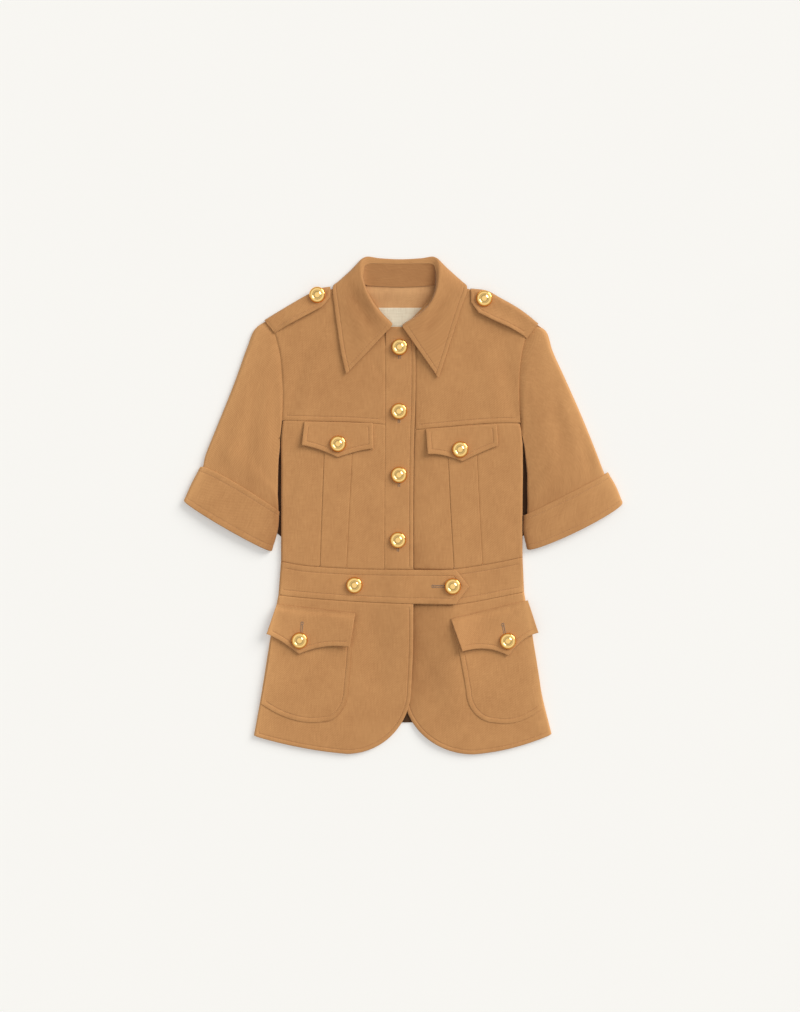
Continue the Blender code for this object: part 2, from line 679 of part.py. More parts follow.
def flap(name, shape, columns, level):
    """Pocket flap on the height that level gives, its lower edge a little lifted."""
    points = plan_flap(shape, 6, columns)
    down = np.linspace(0.0, 1.0, 6)[:, None]
    height = level(points[..., 0], points[..., 1], down, points[0, :, 1][None])
    height = height + SEAM + LAP_WALL + FLAP_LIFT * down ** 2
    return sheet(name, np.concatenate([points, height[..., None]], axis=2), wall=LAP_WALL, up=True)


def over_pleat(top):
    """Level under a chest flap, which clears the box pleat."""
    return lambda x, y, down, head: top(x, y) + pleat_height(y, head)


def over_pocket(top):
    """Level under a hip flap, which clears the pocket that it closes."""
    return lambda x, y, down, head: top(x, y) + (SEAM + LAP_WALL) * ramp(down, 0.06, 0.2)


def ring_points(line, side):
    """One closed ring of a flattened tube, over the top from its outer fold and back underneath."""
    outer, inner = line[0:2], line[2:4]
    bow, height, base = line[4:7]
    reach = inner - outer
    length = np.linalg.norm(reach)
    end = 0.5 * height / length
    shares = np.concatenate([[0.0, 0.3 * end], np.linspace(end, 1.0 - end, 7), [1.0 - 0.3 * end, 1.0]])
    near = np.minimum(np.minimum(shares, 1.0 - shares) / end, 1.0)
    half = 0.5 * height * np.sqrt(1.0 - (1.0 - near) ** 2)
    out = side * bow * np.sqrt(shares) * (1.0 - shares) / length
    across = outer + np.outer(shares, reach) + np.outer(out, (-reach[1], reach[0]))
    over = np.column_stack([across, base + 0.5 * height + half])
    under = np.column_stack([across, base + 0.5 * height - half])
    return np.concatenate([over, under[-2:0:-1]])[::side]


def tube(name, rings, rows, side):
    """Flattened tube through rings: a sleeve or a turned-up cuff."""
    lines = through(rings, rows)
    lines[:, 6] = np.clip(lines[:, 6], rings[0].base, rings[-1].base)
    face = np.stack([ring_points(line, side) for line in lines])
    return sheet(name, face, ring=True)


def strap(name, sections, top):
    """Shoulder strap lying on the yoke, rolled over the shoulder along its upper edge."""
    face = raised(plan(sections, 10, np.linspace(0.0, 1.0, 4)), top)
    face[..., 2] += SEAM + WALL
    return sheet(name, rolled(face, STRAP_ROLL, 0.0, 3), up=True)


def collar_lines(count):
    """Collar sections from the right front end round the back to the left front end."""
    return through(COLLAR_RIGHT[::-1] + COLLAR_LEFT[1:], count)


def collar_stand(name):
    """Stand of the collar, its inner face toward the neck."""
    lines = collar_lines(37)
    up = np.linspace(0.0, 1.0, 4)[None, :, None]
    face = lines[:, None, 0:3] * (1.0 - up) + lines[:, None, 3:6] * up
    return sheet(name, face, wall=COLLAR_WALL, slot="stand_cloth")


def collar_fall(name):
    """Fall of the collar: up from the stand, over the fold and out to the edge with its two points."""
    lines = collar_lines(43)
    top, fold, edge, hang = lines[:, 3:6], lines[:, 6:9], lines[:, 9:12], lines[:, 12]
    rise = fold - top
    start = top + rise / np.linalg.norm(rise, axis=1)[:, None] * COLLAR_WALL
    brow = 0.35 * start + 0.65 * fold + np.array((0.0, 0.0, COLLAR_WALL))
    columns = [start, brow]
    for share in np.linspace(0.0, 1.0, 7) ** 1.5:
        point = fold + (edge - fold) * share
        point[:, 2] = edge[:, 2] + (fold[:, 2] - edge[:, 2]) * (1.0 - share) ** hang
        columns.append(point)
    face = np.stack(columns, axis=1)
    face[..., 2] = np.maximum(face[..., 2], 0.0)
    return sheet(name, face, wall=COLLAR_WALL)


def lining(name, sections, lift, slot):
    """Flat piece seen inside the neck, lying on the back."""
    face = raised(plan(sections, 8, np.linspace(0.0, 1.0, 6)), back_top)
    face[..., 2] += lift
    return sheet(name, face, wall=FACING_WALL, slot=slot, up=True)


def back(name, sections, rows, hem_rise=0.0):
    """Back piece lying flat on the surface, its hem hollowed where asked."""
    across = np.linspace(0.0, 1.0, 8)
    points = plan(sections, rows, across)
    points[..., 0] += BACK_CLEAR * (1.0 - 2.0 * across)[None]
    down = np.linspace(0.0, 1.0, rows)[:, None]
    points[..., 1] += hem_rise * 4.0 * (across * (1.0 - across))[None] * down ** 2
    return sheet(name, raised(points, back_top), up=True)


def button_base(item):
    """Height of the highest cloth under a button."""
    turns = np.linspace(0.0, 2.0 * math.pi, 12, endpoint=False)
    x = item.x + BUTTON_RADIUS * np.append(np.cos(turns), 0.0)
    y = item.y + BUTTON_RADIUS * np.append(np.sin(turns), 0.0)
    top = right_top if item.x < 0 else left_top
    if item.on == "chest":
        return np.max(top(x, y)) + PLEAT + SEAM + LAP_WALL + FLAP_LIFT
    if item.on == "hip":
        return np.max(top(x, y)) + 2 * (SEAM + LAP_WALL) + FLAP_LIFT
    if item.on == "strap":
        return np.max(top(x, y)) + SEAM + WALL
    return np.max(lap_top(x, y))


def button(item):
    """Domed button turned from its outline."""
    base = button_base(item) + SEAM
    build = bmesh.new()
    verts = []
    for turn in BUTTON_PROFILE:
        x = item.x + turn.share * BUTTON_RADIUS
        verts.append(build.verts.new((x * MM, item.y * MM, (base + turn.height) * MM)))
    edges = [build.edges.new(pair) for pair in zip(verts, verts[1:])]
    bmesh.ops.spin(build, geom=verts + edges, cent=(item.x * MM, item.y * MM, 0.0), axis=(0.0, 0.0, 1.0),
                   angle=2.0 * math.pi, steps=BUTTON_SIDES, use_merge=True)
    bmesh.ops.remove_doubles(build, verts=build.verts, dist=0.00001)
    bmesh.ops.recalc_face_normals(build, faces=build.faces)
    mesh = bpy.data.meshes.new("button_" + item.name)
    build.to_mesh(mesh)
    build.free()
    return placed("button_" + item.name, mesh, "gold_metal")


def jacket():
    """All pieces, from the surface up."""
    back("back_bodice", BACK_BODICE, 15)
    back("back_band", BACK_BAND, 3)
    back("back_skirt", BACK_SKIRT, 8, BACK_HEM_RISE)
    lining("back_facing", FACING, 2 * SEAM + FACING_WALL, "facing_cloth")
    lining("neck_label", LABEL, 3 * SEAM + 2 * FACING_WALL, "label_cloth")
    yoke("yoke_right", ARM_RIGHT, YOKE_RIGHT_ARM, YOKE_RIGHT_EDGE, YOKE_SEAM_RIGHT, SHOULDER_RIGHT,
         right_top)
    yoke("yoke_left", ARM_LEFT, YOKE_LEFT_ARM, YOKE_LEFT_EDGE, YOKE_SEAM_LEFT, SHOULDER_LEFT, left_top)
    front("front_right", FRONT_RIGHT, PLEAT_RIGHT, YOKE_SEAM_RIGHT, WAIST_TOP_RIGHT, right_top)
    front("front_left", FRONT_LEFT, PLEAT_LEFT, YOKE_SEAM_LEFT, WAIST_TOP_LEFT, left_top)
    sheet("placket", raised(plan(PLACKET, 20, np.linspace(0.0, 1.0, 4)), lap_top), up=True)
    band("band_right", WAIST_TOP_RIGHT, WAIST_LOW_RIGHT, BAND_TAB, lap_top)
    band("band_left", WAIST_TOP_LEFT, WAIST_LOW_LEFT, (), left_top)
    skirt("skirt_right", SKIRT_RIGHT, HEM_RIGHT, WAIST_LOW_RIGHT, right_top)
    skirt("skirt_left", SKIRT_LEFT, HEM_LEFT, WAIST_LOW_LEFT, left_top)
    pocket("hip_pocket_right", POCKET_RIGHT, POCKET_LOW_RIGHT, right_top)
    pocket("hip_pocket_left", POCKET_LEFT, POCKET_LOW_LEFT, left_top)
    flap("hip_flap_right", HIP_FLAP_RIGHT, 15, over_pocket(right_top))
    flap("hip_flap_left", HIP_FLAP_LEFT, 15, over_pocket(left_top))
    flap("chest_flap_right", CHEST_FLAP_RIGHT, 13, over_pleat(right_top))
    flap("chest_flap_left", CHEST_FLAP_LEFT, 13, over_pleat(left_top))
    tube("sleeve_right", SLEEVE_RIGHT, 14, 1)
    tube("sleeve_left", SLEEVE_LEFT, 14, -1)
    tube("cuff_right", CUFF_RIGHT, 4, 1)
    tube("cuff_left", CUFF_LEFT, 4, -1)
    strap("strap_right", STRAP_RIGHT, right_top)
    strap("strap_left", STRAP_LEFT, left_top)
    collar_stand("collar_stand")
    collar_fall("collar_fall")
    for item in BUTTONS:
        button(item)


jacket()
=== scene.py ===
"""Looks of a short-sleeved belted jacket that lies flat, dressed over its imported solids.

Sizes are in millimetres and become metres as each mesh is made. X runs across the body, with the
wearer's left at +x, y runs up the body from hem to collar, and z stands off the floor.
"""

import logging
import math
from dataclasses import dataclass, field
from enum import Enum
from typing import Callable, NamedTuple, Optional, Sequence, Union

import bpy
import numpy as np
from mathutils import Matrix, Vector
from mathutils.geometry import delaunay_2d_cdt


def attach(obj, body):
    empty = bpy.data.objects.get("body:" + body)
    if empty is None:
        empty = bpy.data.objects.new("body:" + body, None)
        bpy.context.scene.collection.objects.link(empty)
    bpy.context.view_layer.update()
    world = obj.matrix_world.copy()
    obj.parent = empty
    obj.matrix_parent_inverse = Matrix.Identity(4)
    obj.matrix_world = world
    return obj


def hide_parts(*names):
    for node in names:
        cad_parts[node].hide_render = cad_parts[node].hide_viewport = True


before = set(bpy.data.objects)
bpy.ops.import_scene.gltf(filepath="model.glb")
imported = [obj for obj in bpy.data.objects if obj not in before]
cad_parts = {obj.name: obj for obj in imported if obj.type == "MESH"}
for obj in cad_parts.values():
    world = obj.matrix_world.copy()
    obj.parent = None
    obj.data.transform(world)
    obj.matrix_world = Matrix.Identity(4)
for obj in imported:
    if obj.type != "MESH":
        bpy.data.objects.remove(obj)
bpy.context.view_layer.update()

LOG = logging.getLogger("jacket")
Points = np.ndarray
Faces = list[tuple[int, ...]]
Height = Callable[[Points, Points], Points]
Pair = tuple[float, float]
Outline = tuple[Pair, ...]
Colour = tuple[float, float, float]
Piece = bpy.types.Object

MM = 0.001
GRAIN = "grain"
# Name of the point attribute that carries painted light and painted shade: paler near outer folds, darker
# beside shaded lines, and the painted reflection at button rims
PAINTED_LIGHT_SHADE = "rub"

# How far a seam's lower edge runs down under its neighbour, and how much a pressed edge is rounded
UNDER = 1.7
PRESSED = 0.45

# Largest angle in degrees between faces of cloth that are shaded as one
SMOOTH_BELOW = 62.0

# Number of points along a line that is followed closely
FINE = 41

# Distances of topstitching from the edge that it follows
NARROW = 5.6
MIDDLE = 6.6
WIDE = 8.0


class Wearer(Enum):
    """Side of the wearer, as the sign of x."""

    RIGHT = -1
    LEFT = 1


class Ending(Enum):
    """How the cloth ends along one edge of a panel."""

    FOLDED = "folded"
    SEWN = "sewn"
    COVERED = "covered"
    TUCKED = "tucked"
    LAPPED = "lapped"
    ROLLED = "rolled"
    DRAPED = "draped"


class Seat(Enum):
    """What a button lies on."""

    LAP = "lap"
    CHEST = "chest flap"
    HIP = "hip flap"
    STRAP = "shoulder strap"


class Spot(NamedTuple):
    """A point in plan."""

    x: float
    y: float


class Section(NamedTuple):
    """A line across a panel, from its side to its front edge."""

    side_x: float
    side_y: float
    edge_x: float
    edge_y: float


Sections = tuple[Section, ...]


class Armhole(NamedTuple):
    """The line that a sleeve is sewn to, and how far it bows."""

    shoulder: Spot
    underarm: Spot
    bow: float


class PleatLine(NamedTuple):
    """A fold line as shares of the way across a front, at the chest and at the band."""

    top: float
    low: float


class Round(NamedTuple):
    """A rounded lower corner, the low end of the side and how far the hem sags between them."""

    centre: Spot
    radii: Spot
    side_end: Spot
    sag: float


class FlapCut(NamedTuple):
    """Ends of a flap's top and lower edge, its point and how far that hangs, and how its corners stand up."""

    top_a: Spot
    top_b: Spot
    low_a: Spot
    low_b: Spot
    point: float
    depth: float
    curve_a: float
    curve_b: float
    lift_a: float
    lift_b: float


class Ring(NamedTuple):
    """A flattened ring of a sleeve or cuff, from its outer to its inner fold."""

    outer_x: float
    outer_y: float
    inner_x: float
    inner_y: float
    bow: float
    height: float
    base: float


# A line over the collar: x, y and z of its neck seam, of the stand's top, of the fold and of the outer
# edge, and how steeply the fall hangs
CollarCut = tuple[float, ...]


class Fold(NamedTuple):
    """A soft ridge, or a trough where its height is below zero."""

    x: float
    y: float
    heading: float
    length: float
    width: float
    height: float


class PaintedLightLine(NamedTuple):
    """A line under or beside other cloth, beside which painted shade darkens the colour, or painted light
    pales it where the weight is below zero.
    """

    line: Points
    weight: float
    reach: float


def ramp(value: Points, start: float, end: float) -> Points:
    """Rise smoothly from 0 at start to 1 at end."""
    share = np.clip((np.asarray(value, float) - start) / (end - start), 0.0, 1.0)
    return share * share * (3.0 - 2.0 * share)


def through(rows: Sequence[Sequence[float]], at: Points) -> Points:
    """Smooth curve through rows of numbers.

    Args:
        rows: the numbers of each point that the curve goes through.
        at: shares of the curve's length, in any shape.

    Returns:
        The curve's numbers at those shares, along a last axis.
    """
    table = np.array(rows, float)
    steps = np.linalg.norm(np.diff(table, axis=0), axis=1)
    knots = np.concatenate([[0.0], np.cumsum(steps)])
    slopes = np.gradient(table, knots, axis=0)
    along = np.asarray(at, float) * knots[-1]
    index = np.clip(np.searchsorted(knots, along, side="right") - 1, 0, len(table) - 2)
    span = (knots[index + 1] - knots[index])[..., None]
    share = (along - knots[index])[..., None] / span
    square = share * share
    cube = square * share
    start = (2 * cube - 3 * square + 1) * table[index] + (cube - 2 * square + share) * span * slopes[index]
    end = (3 * square - 2 * cube) * table[index + 1] + (cube - square) * span * slopes[index + 1]
    return start + end


def curve(rows: Sequence[Sequence[float]], count: int = 61) -> Points:
    """Points of a smooth curve through rows, from its first to its last."""
    return through(rows, np.linspace(0.0, 1.0, count))


def straight(start: Sequence[float], end: Sequence[float], count: int = 13) -> Points:
    """Points of a straight line."""
    share = np.linspace(0.0, 1.0, count)[:, None]
    return np.asarray(start, float) * (1.0 - share) + np.asarray(end, float) * share


def along(line: Points) -> Points:
    """Distance of each point of a line from its start."""
    return np.concatenate([[0.0], np.cumsum(np.linalg.norm(np.diff(line, axis=0), axis=1))])


def sampled(line: Points, at: Points, values: Optional[Points] = None) -> Points:
    """Points of a line, or values along it, at distances from its start.

    Args:
        line: the line's points.
        at: distances, in any shape.
        values: numbers of each of its points, which are its own places if there are none.

    Returns:
        The points or values, along a last axis.
    """
    way = along(line)
    rows = line if values is None else values
    return np.stack([np.interp(at, way, rows[:, axis]) for axis in range(rows.shape[1])], axis=-1)


def evenly(line: Points, spacing: float) -> Points:
    """The same line with points about a spacing apart.

    Args:
        line: the line's points.
        spacing: the largest gap between two points.

    Returns:
        The new points.
    """
    length = along(line)[-1]
    count = max(3, math.ceil(length / spacing) + 1)
    return sampled(line, np.linspace(0.0, length, count))


def level_at(line: Points, x: Points) -> Points:
    """Y of a line that runs across, at places along x."""
    order = np.argsort(line[:, 0])
    return np.interp(x, line[order, 0], line[order, 1])


def between(line: Points, start: float, end: float) -> Points:
    """Part of a line that runs across, from one x to another."""
    x = np.linspace(start, end, 31)
    return np.column_stack([x, level_at(line, x)])


def relief(folds: Sequence[Fold], x: Points, y: Points) -> Points:
    """Height of soft folds.

    Args:
        folds: the folds.
        x: plan positions across.
        y: plan positions up the body, in the same shape.

    Returns:
        Heights in the same shape.
    """
    total = np.zeros(np.shape(x))
    for fold in folds:
        turn = math.radians(fold.heading)
        lengthwise = (x - fold.x) * math.cos(turn) + (y - fold.y) * math.sin(turn)
        aside = (y - fold.y) * math.cos(turn) - (x - fold.x) * math.sin(turn)
        total = total + fold.height * np.exp(-((lengthwise / fold.length) ** 2) - (aside / fold.width) ** 2)
    return total


@dataclass(frozen=True)
class Lie:
    """How the jacket lies: its layers, where they dip and rise, and its soft folds."""

    wall: float = 1.8
    lap_wall: float = 1.5
    collar_wall: float = 1.4
    seam: float = 0.3
    body: float = 7.0
    hem_drop: float = 0.8
    hem_span: Pair = (-250.0, -345.0)
    lap_dip: float = 3.0
    lap_clear: float = 0.7
    dip_across: Pair = (46.0, 10.0)
    dip_down: Pair = (252.0, 214.0)
    lap_lift: float = 5.4
    lift_across: Pair = (-50.0, 6.0)
    lift_y: float = -165.0
    lift_reach: float = 72.0
    neck_rise: float = 1.7
    rise_up: Pair = (280.0, 298.0)
    rise_out: Pair = (100.0, 125.0)
    pleat: float = 0.5
    pleat_span: Pair = (2.0, 24.0)
    flap_lift: float = 0.8
    ripple: float = 0.09
    waves: Outline = ((9.1, 23.0), (-31.0, 11.7), (5.3, -7.9))
    creases: tuple[Fold, ...] = (
        Fold(-152.0, 150.0, 68.0, 34.0, 10.0, -0.7), Fold(-143.0, 186.0, 70.0, 46.0, 8.0, -0.9),
        Fold(-36.0, 190.0, 118.0, 20.0, 6.0, -0.5), Fold(-133.0, 165.0, 75.0, 40.0, 12.0, 0.5),
        Fold(-160.0, 172.0, 58.0, 20.0, 6.0, -0.4), Fold(-118.0, 205.0, 102.0, 44.0, 15.0, -0.35),
        Fold(147.0, 185.0, 98.0, 48.0, 12.0, -1.2), Fold(125.0, 160.0, 95.0, 45.0, 14.0, 0.5),
        Fold(152.0, 138.0, 118.0, 22.0, 7.0, -0.5), Fold(90.0, 175.0, 80.0, 40.0, 16.0, -0.3),
        Fold(-140.0, 10.0, 92.0, 70.0, 14.0, 0.5), Fold(-157.0, 30.0, 84.0, 30.0, 6.0, -0.45),
        Fold(-148.0, -48.0, 70.0, 22.0, 7.0, -0.4), Fold(-55.0, 20.0, 91.0, 60.0, 10.0, -0.3),
        Fold(138.0, 5.0, 88.0, 70.0, 14.0, 0.5), Fold(152.0, -30.0, 104.0, 28.0, 8.0, -0.45),
        Fold(36.0, -20.0, 86.0, 50.0, 10.0, -0.35), Fold(-30.0, -235.0, 84.0, 60.0, 18.0, -0.5),
        Fold(-160.0, -292.0, 60.0, 26.0, 10.0, -0.4), Fold(-95.0, -300.0, 96.0, 24.0, 12.0, 0.35),
        Fold(70.0, -190.0, 92.0, 80.0, 29.0, 6.0), Fold(40.0, -250.0, 104.0, 46.0, 12.0, -0.5),
        Fold(186.0, -270.0, 98.0, 50.0, 8.0, 0.5), Fold(140.0, -300.0, 112.0, 24.0, 10.0, -0.35),
        Fold(-214.0, 99.0, 81.0, 62.0, 14.0, -1.5), Fold(-236.0, 92.0, 66.0, 52.0, 11.0, 0.9),
        Fold(-190.0, 150.0, 84.0, 44.0, 9.0, 0.6), Fold(-250.0, 60.0, 118.0, 20.0, 9.0, -0.6),
        Fold(216.0, 120.0, 94.0, 58.0, 11.0, -1.2), Fold(234.0, 112.0, 112.0, 50.0, 10.0, 0.9),
        Fold(258.0, 62.0, 104.0, 30.0, 7.0, -1.3), Fold(205.0, 60.0, 72.0, 34.0, 10.0, 0.7),
        Fold(190.0, 165.0, 96.0, 36.0, 8.0, -0.6),
    )

    def folds(self, x: Points, y: Points) -> Points:
        """Height of the soft folds and of the cloth's slight unevenness."""
        waves = sum(np.sin(x / wide + y / tall) for wide, tall in self.waves)
        return self.ripple * waves + relief(self.creases, x, y)

    def base(self, x: Points, y: Points) -> Points:
        """Outer face of both fronts away from the lap."""
        return self.body - self.hem_drop * ramp(y, *self.hem_span) + self.folds(x, y)

    def right(self, x: Points, y: Points) -> Points:
        """Outer face of the wearer's right front, which stands up toward the lap at the waist."""
        near_waist = np.exp(-(((y - self.lift_y) / self.lift_reach) ** 2))
        return self.base(x, y) + self.lap_lift * ramp(x, *self.lift_across) * near_waist

    def left(self, x: Points, y: Points) -> Points:
        """Outer face of the left front, which dips where the right front laps over it."""
        away = np.clip((x - self.dip_across[0]) / (self.dip_across[1] - self.dip_across[0]), 0.0, 1.0)
        return self.base(x, y) - self.lap_dip * away ** 2 * ramp(y, *self.dip_down)

    def lap(self, x: Points, y: Points) -> Points:
        """Outer face of what laps over the left front."""
        return np.maximum(self.right(x, y), self.left(x, y) + self.lap_clear + self.wall)

    def neck(self, x: Points, y: Points) -> Points:
        """Underside where the back and shoulders rise over the folded collar."""
        reach = 1.0 - ramp(np.abs(x), *self.rise_out)
        return self.neck_rise * ramp(y, *self.rise_up) * reach

    def back(self, x: Points, y: Points) -> Points:
        """Inner face of the back, seen through the neck."""
        return self.neck(x, y) + self.wall

    def pleat_height(self, below: Points) -> Points:
        """How far a box pleat stands out at a distance below the chest seam."""
        return self.pleat * ramp(below, *self.pleat_span)


LIE = Lie()


def quads(rows: int, columns: int, ring: bool) -> Faces:
    """Faces of a grid of points.

    Args:
        rows: number of rows of points.
        columns: number of points in a row.
        ring: whether each row is closed.

    Returns:
        Places of the four corners of each face.
    """
    near = np.arange(rows * columns).reshape(rows, columns)
    beside = np.roll(near, -1, axis=1)
    corners = np.stack([near[:-1], beside[:-1], beside[1:], near[1:]], axis=2)
    if not ring:
        corners = corners[:, :-1]
    return [tuple(face) for face in corners.reshape(-1, 4).tolist()]


class Edge(NamedTuple):
    """One edge of a panel from corner to corner, its topstitch, and its roll or how deep it is tucked."""

    line: Points
    ending: Ending
    stitch: float = 0.0
    reach: float = 0.0


class Shape(NamedTuple):
    """Outer face of a cloth piece: points, faces, grain, plan size and topstitch lines."""

    points: Points
    faces: Faces
    grain: Points
    flat: Pair
    lines: list[Points]


# How far in from the outline each ring of an edge lies, and how far below the face as a share of its reach
ROUNDING: dict[Ending, Outline] = {
    Ending.FOLDED: ((0.0, 0.95), (0.1, 0.5), (0.35, 0.2), (0.8, 0.05), (1.4, 0.0), (2.2, 0.0), (3.2, 0.0)),
    Ending.SEWN: ((0.05, 0.9), (0.2, 0.5), (0.5, 0.27), (1.0, 0.13), (1.7, 0.05), (2.5, 0.0), (3.4, 0.0)),
    Ending.TUCKED: (
        (-2.6, 1.0), (-1.6, 0.97), (-0.7, 0.86), (0.1, 0.6), (0.7, 0.32), (1.5, 0.1), (2.8, 0.0)),
    Ending.LAPPED: (
        (-38.0, 1.0), (-2.0, 1.0), (-0.9, 0.9), (0.0, 0.62), (0.7, 0.32), (1.6, 0.1), (3.0, 0.0)),
    Ending.COVERED: ((0.15, 0.0), (0.6, 0.0), (1.1, 0.0), (1.6, 0.0), (2.1, 0.0), (2.6, 0.0), (3.4, 0.0)),
}

# Angles in degrees of the rings round a roll, up to the face
ROLLS: dict[Ending, tuple[float, ...]] = {
    Ending.ROLLED: (-90.0, -50.0, -10.0, 20.0, 50.0, 75.0, 90.0),
    Ending.DRAPED: (0.0, 18.0, 36.0, 52.0, 66.0, 80.0, 90.0),
}


@dataclass
class Panel:
    """Cloth that lies flat, worked in rings from its outline in to a field of triangles."""

    edges: list[Edge]
    top: Height
    turn: float = 0.0
    step: float = 3.0
    spacing: float = 4.6
    depth: float = 9.0
    groove: float = 0.5
    puff: float = 0.3
    groove_width: float = 0.5
    beside_stitch: tuple[float, ...] = (-1.3, -0.65, -0.3, 0.0, 0.3, 0.65, 1.4)
    past_stitch: float = 3.0
    past_roll: float = 0.2
    corner_share: float = 0.9
    slight_bend: float = 0.25

    def joined(self) -> list[Edge]:
        """Edges in counterclockwise order whose ends meet in shared corners.

        Returns:
            The edges with evenly spaced points.
        """
        outline = np.concatenate([edge.line[:-1] for edge in self.edges])
        after = np.roll(outline, -1, axis=0)
        area = np.sum(outline[:, 0] * after[:, 1] - after[:, 0] * outline[:, 1])
        edges = list(self.edges)
        if area < 0.0:
            edges = [edge._replace(line=edge.line[::-1]) for edge in reversed(edges)]
        made = []
        for index, edge in enumerate(edges):
            start = (edges[index - 1].line[-1] + edge.line[0]) / 2
            end = (edge.line[-1] + edges[(index + 1) % len(edges)].line[0]) / 2
            line = evenly(edge.line, self.step)
            share = (along(line) / along(line)[-1])[:, None]
            line = line + (start - line[0]) * (1.0 - share) + (end - line[-1]) * share
            made.append(edge._replace(line=line))
        return made

    def profile(self, edge: Edge) -> tuple[Points, Points]:
        """Rings of one edge.

        Args:
            edge: the edge, with its final points.

        Returns:
            Distances inward and heights against the panel's face, each by ring and point.
        """
        count = len(edge.line)
        if edge.ending in ROLLS:
            radius = np.full(count, edge.reach)
            if not edge.reach:
                x, y = edge.line.T
                radius = (self.top(x, y) - LIE.neck(x, y)) / 2
            turns = np.radians(ROLLS[edge.ending])[:, None]
            near = radius * (1.0 - np.cos(turns))
            near[-1] += self.past_roll
            lift = -radius * (1.0 - np.sin(turns))
        else:
            near, drop = np.array(ROUNDING[edge.ending]).T[:, :, None] * np.ones(count)
            lift = -drop * (edge.reach or 1.0)
        beside = np.outer(self.beside_stitch, np.ones(count))
        if edge.stitch:
            far = edge.stitch + beside
            dent = -self.groove * np.exp(-((beside / self.groove_width) ** 2))
            last = np.full((1, count), edge.stitch + self.past_stitch)
        else:
            shares = np.linspace(0.0, 1.0, len(beside) + 2)[1:-1, None]
            far = near[-1] + (self.depth - near[-1]) * shares
            dent = np.zeros(far.shape)
            last = np.full((1, count), self.depth)
        away = np.concatenate([near, far, last])
        height = np.concatenate([lift, dent, np.zeros((1, count))])
        if edge.stitch:
            height = height + self.puff * np.sin(math.pi * np.clip(away / edge.stitch, 0.0, 1.0))
        return away, height

    def rings(self) -> tuple[Points, list[tuple[int, int, float]]]:
        """Rings of points from the outline inward.

        Returns:
            Points by ring and place, and the first place, count and stitch of each edge.
        """
        edges = self.joined()
        headings = [np.gradient(edge.line, axis=0) for edge in edges]
        tangents = [heading / np.linalg.norm(heading, axis=1)[:, None] for heading in headings]
        normals = [np.column_stack([-tangent[:, 1], tangent[:, 0]]) for tangent in tangents]
        profiles = [self.profile(edge) for edge in edges]
        inward = [away for away, _ in profiles]
        corners = [
            self.corner(normals[at - 1][-1], normals[at][0], inward[at - 1][:, -1], inward[at][:, 0])
            for at in range(len(edges))]
        rows = []
        spans = []
        place = 0
        for index, edge in enumerate(edges):
            line, tangent, normal = edge.line, tangents[index], normals[index]
            away, lift = profiles[index]
            way = along(line)
            ahead = corners[index] @ tangent[0]
            following = corners[(index + 1) % len(edges)]
            back = -(following @ tangent[-1])
            limit = self.corner_share * way[-1] / np.maximum(np.abs(ahead) + np.abs(back), 1e-6)
            squeeze = np.minimum(limit, 1.0)
            ahead = (ahead * squeeze)[:, None]
            back = (back * squeeze)[:, None]
            at = ahead + (way[-1] - ahead - back) * way[None] / way[-1]
            spots = sampled(line, at) + sampled(line, at, normal) * away[..., None]
            spots[:, 0] = line[0] + corners[index]
            lift = lift.copy()
            lift[:, 0] = np.minimum(lift[:, 0], profiles[index - 1][1][:, -1])
            height = self.top(spots[..., 0], spots[..., 1]) + lift
            rows.append(np.concatenate([spots, height[..., None]], axis=2)[:, :-1])
            spans.append((place, len(line) - 1, edge.stitch))
            place += len(line) - 1
        return np.concatenate(rows, axis=1), spans

    def corner(self, normal_a: Points, normal_b: Points, away_a: Points, away_b: Points) -> Points:
        """How far the corner between two edges moves inward on each ring.

        Args:
            normal_a: direction inward at the end of the first edge.
            normal_b: direction inward at the start of the second.
            away_a: how far in the first edge's rings lie there.
            away_b: how far in the second edge's rings lie there.

        Returns:
            A plan vector for each ring.
        """
        bend = normal_a[0] * normal_b[1] - normal_a[1] * normal_b[0]
        if abs(bend) < self.slight_bend:
            middle = normal_a + normal_b
            middle /= np.linalg.norm(middle)
            return np.outer((away_a + away_b) / 2, middle)
        return np.linalg.solve(np.stack([normal_a, normal_b]), np.stack([away_a, away_b])).T

    def lattice(self, ring: Points) -> Points:
        """Evenly spread points inside the innermost ring.

        Args:
            ring: plan points of that ring.

        Returns:
            Plan points that keep clear of the ring.
        """
        low, high = ring.min(axis=0), ring.max(axis=0)
        rise = self.spacing * math.sqrt(0.75)
        rows = np.arange(low[1] + rise / 2, high[1], rise)
        spots = []
        for index, y in enumerate(rows):
            x = np.arange(low[0] + self.spacing * (0.25 + 0.5 * (index % 2)), high[0], self.spacing)
            spots.append(np.column_stack([x, np.full(len(x), y)]))
        spots = np.concatenate(spots) if spots else np.zeros((0, 2))
        after = np.roll(ring, -1, axis=0)
        x, y = spots[:, 0:1], spots[:, 1:2]
        spans = (ring[:, 1] > y) != (after[:, 1] > y)
        rise_of = np.where(after[:, 1] == ring[:, 1], 1.0, after[:, 1] - ring[:, 1])
        crossing = ring[:, 0] + (y - ring[:, 1]) / rise_of * (after[:, 0] - ring[:, 0])
        inside = np.sum(spans & (x < crossing), axis=1) % 2 == 1
        gap = np.min(np.hypot(x - ring[:, 0], y - ring[:, 1]), axis=1)
        return spots[inside & (gap > 0.5 * self.spacing)]

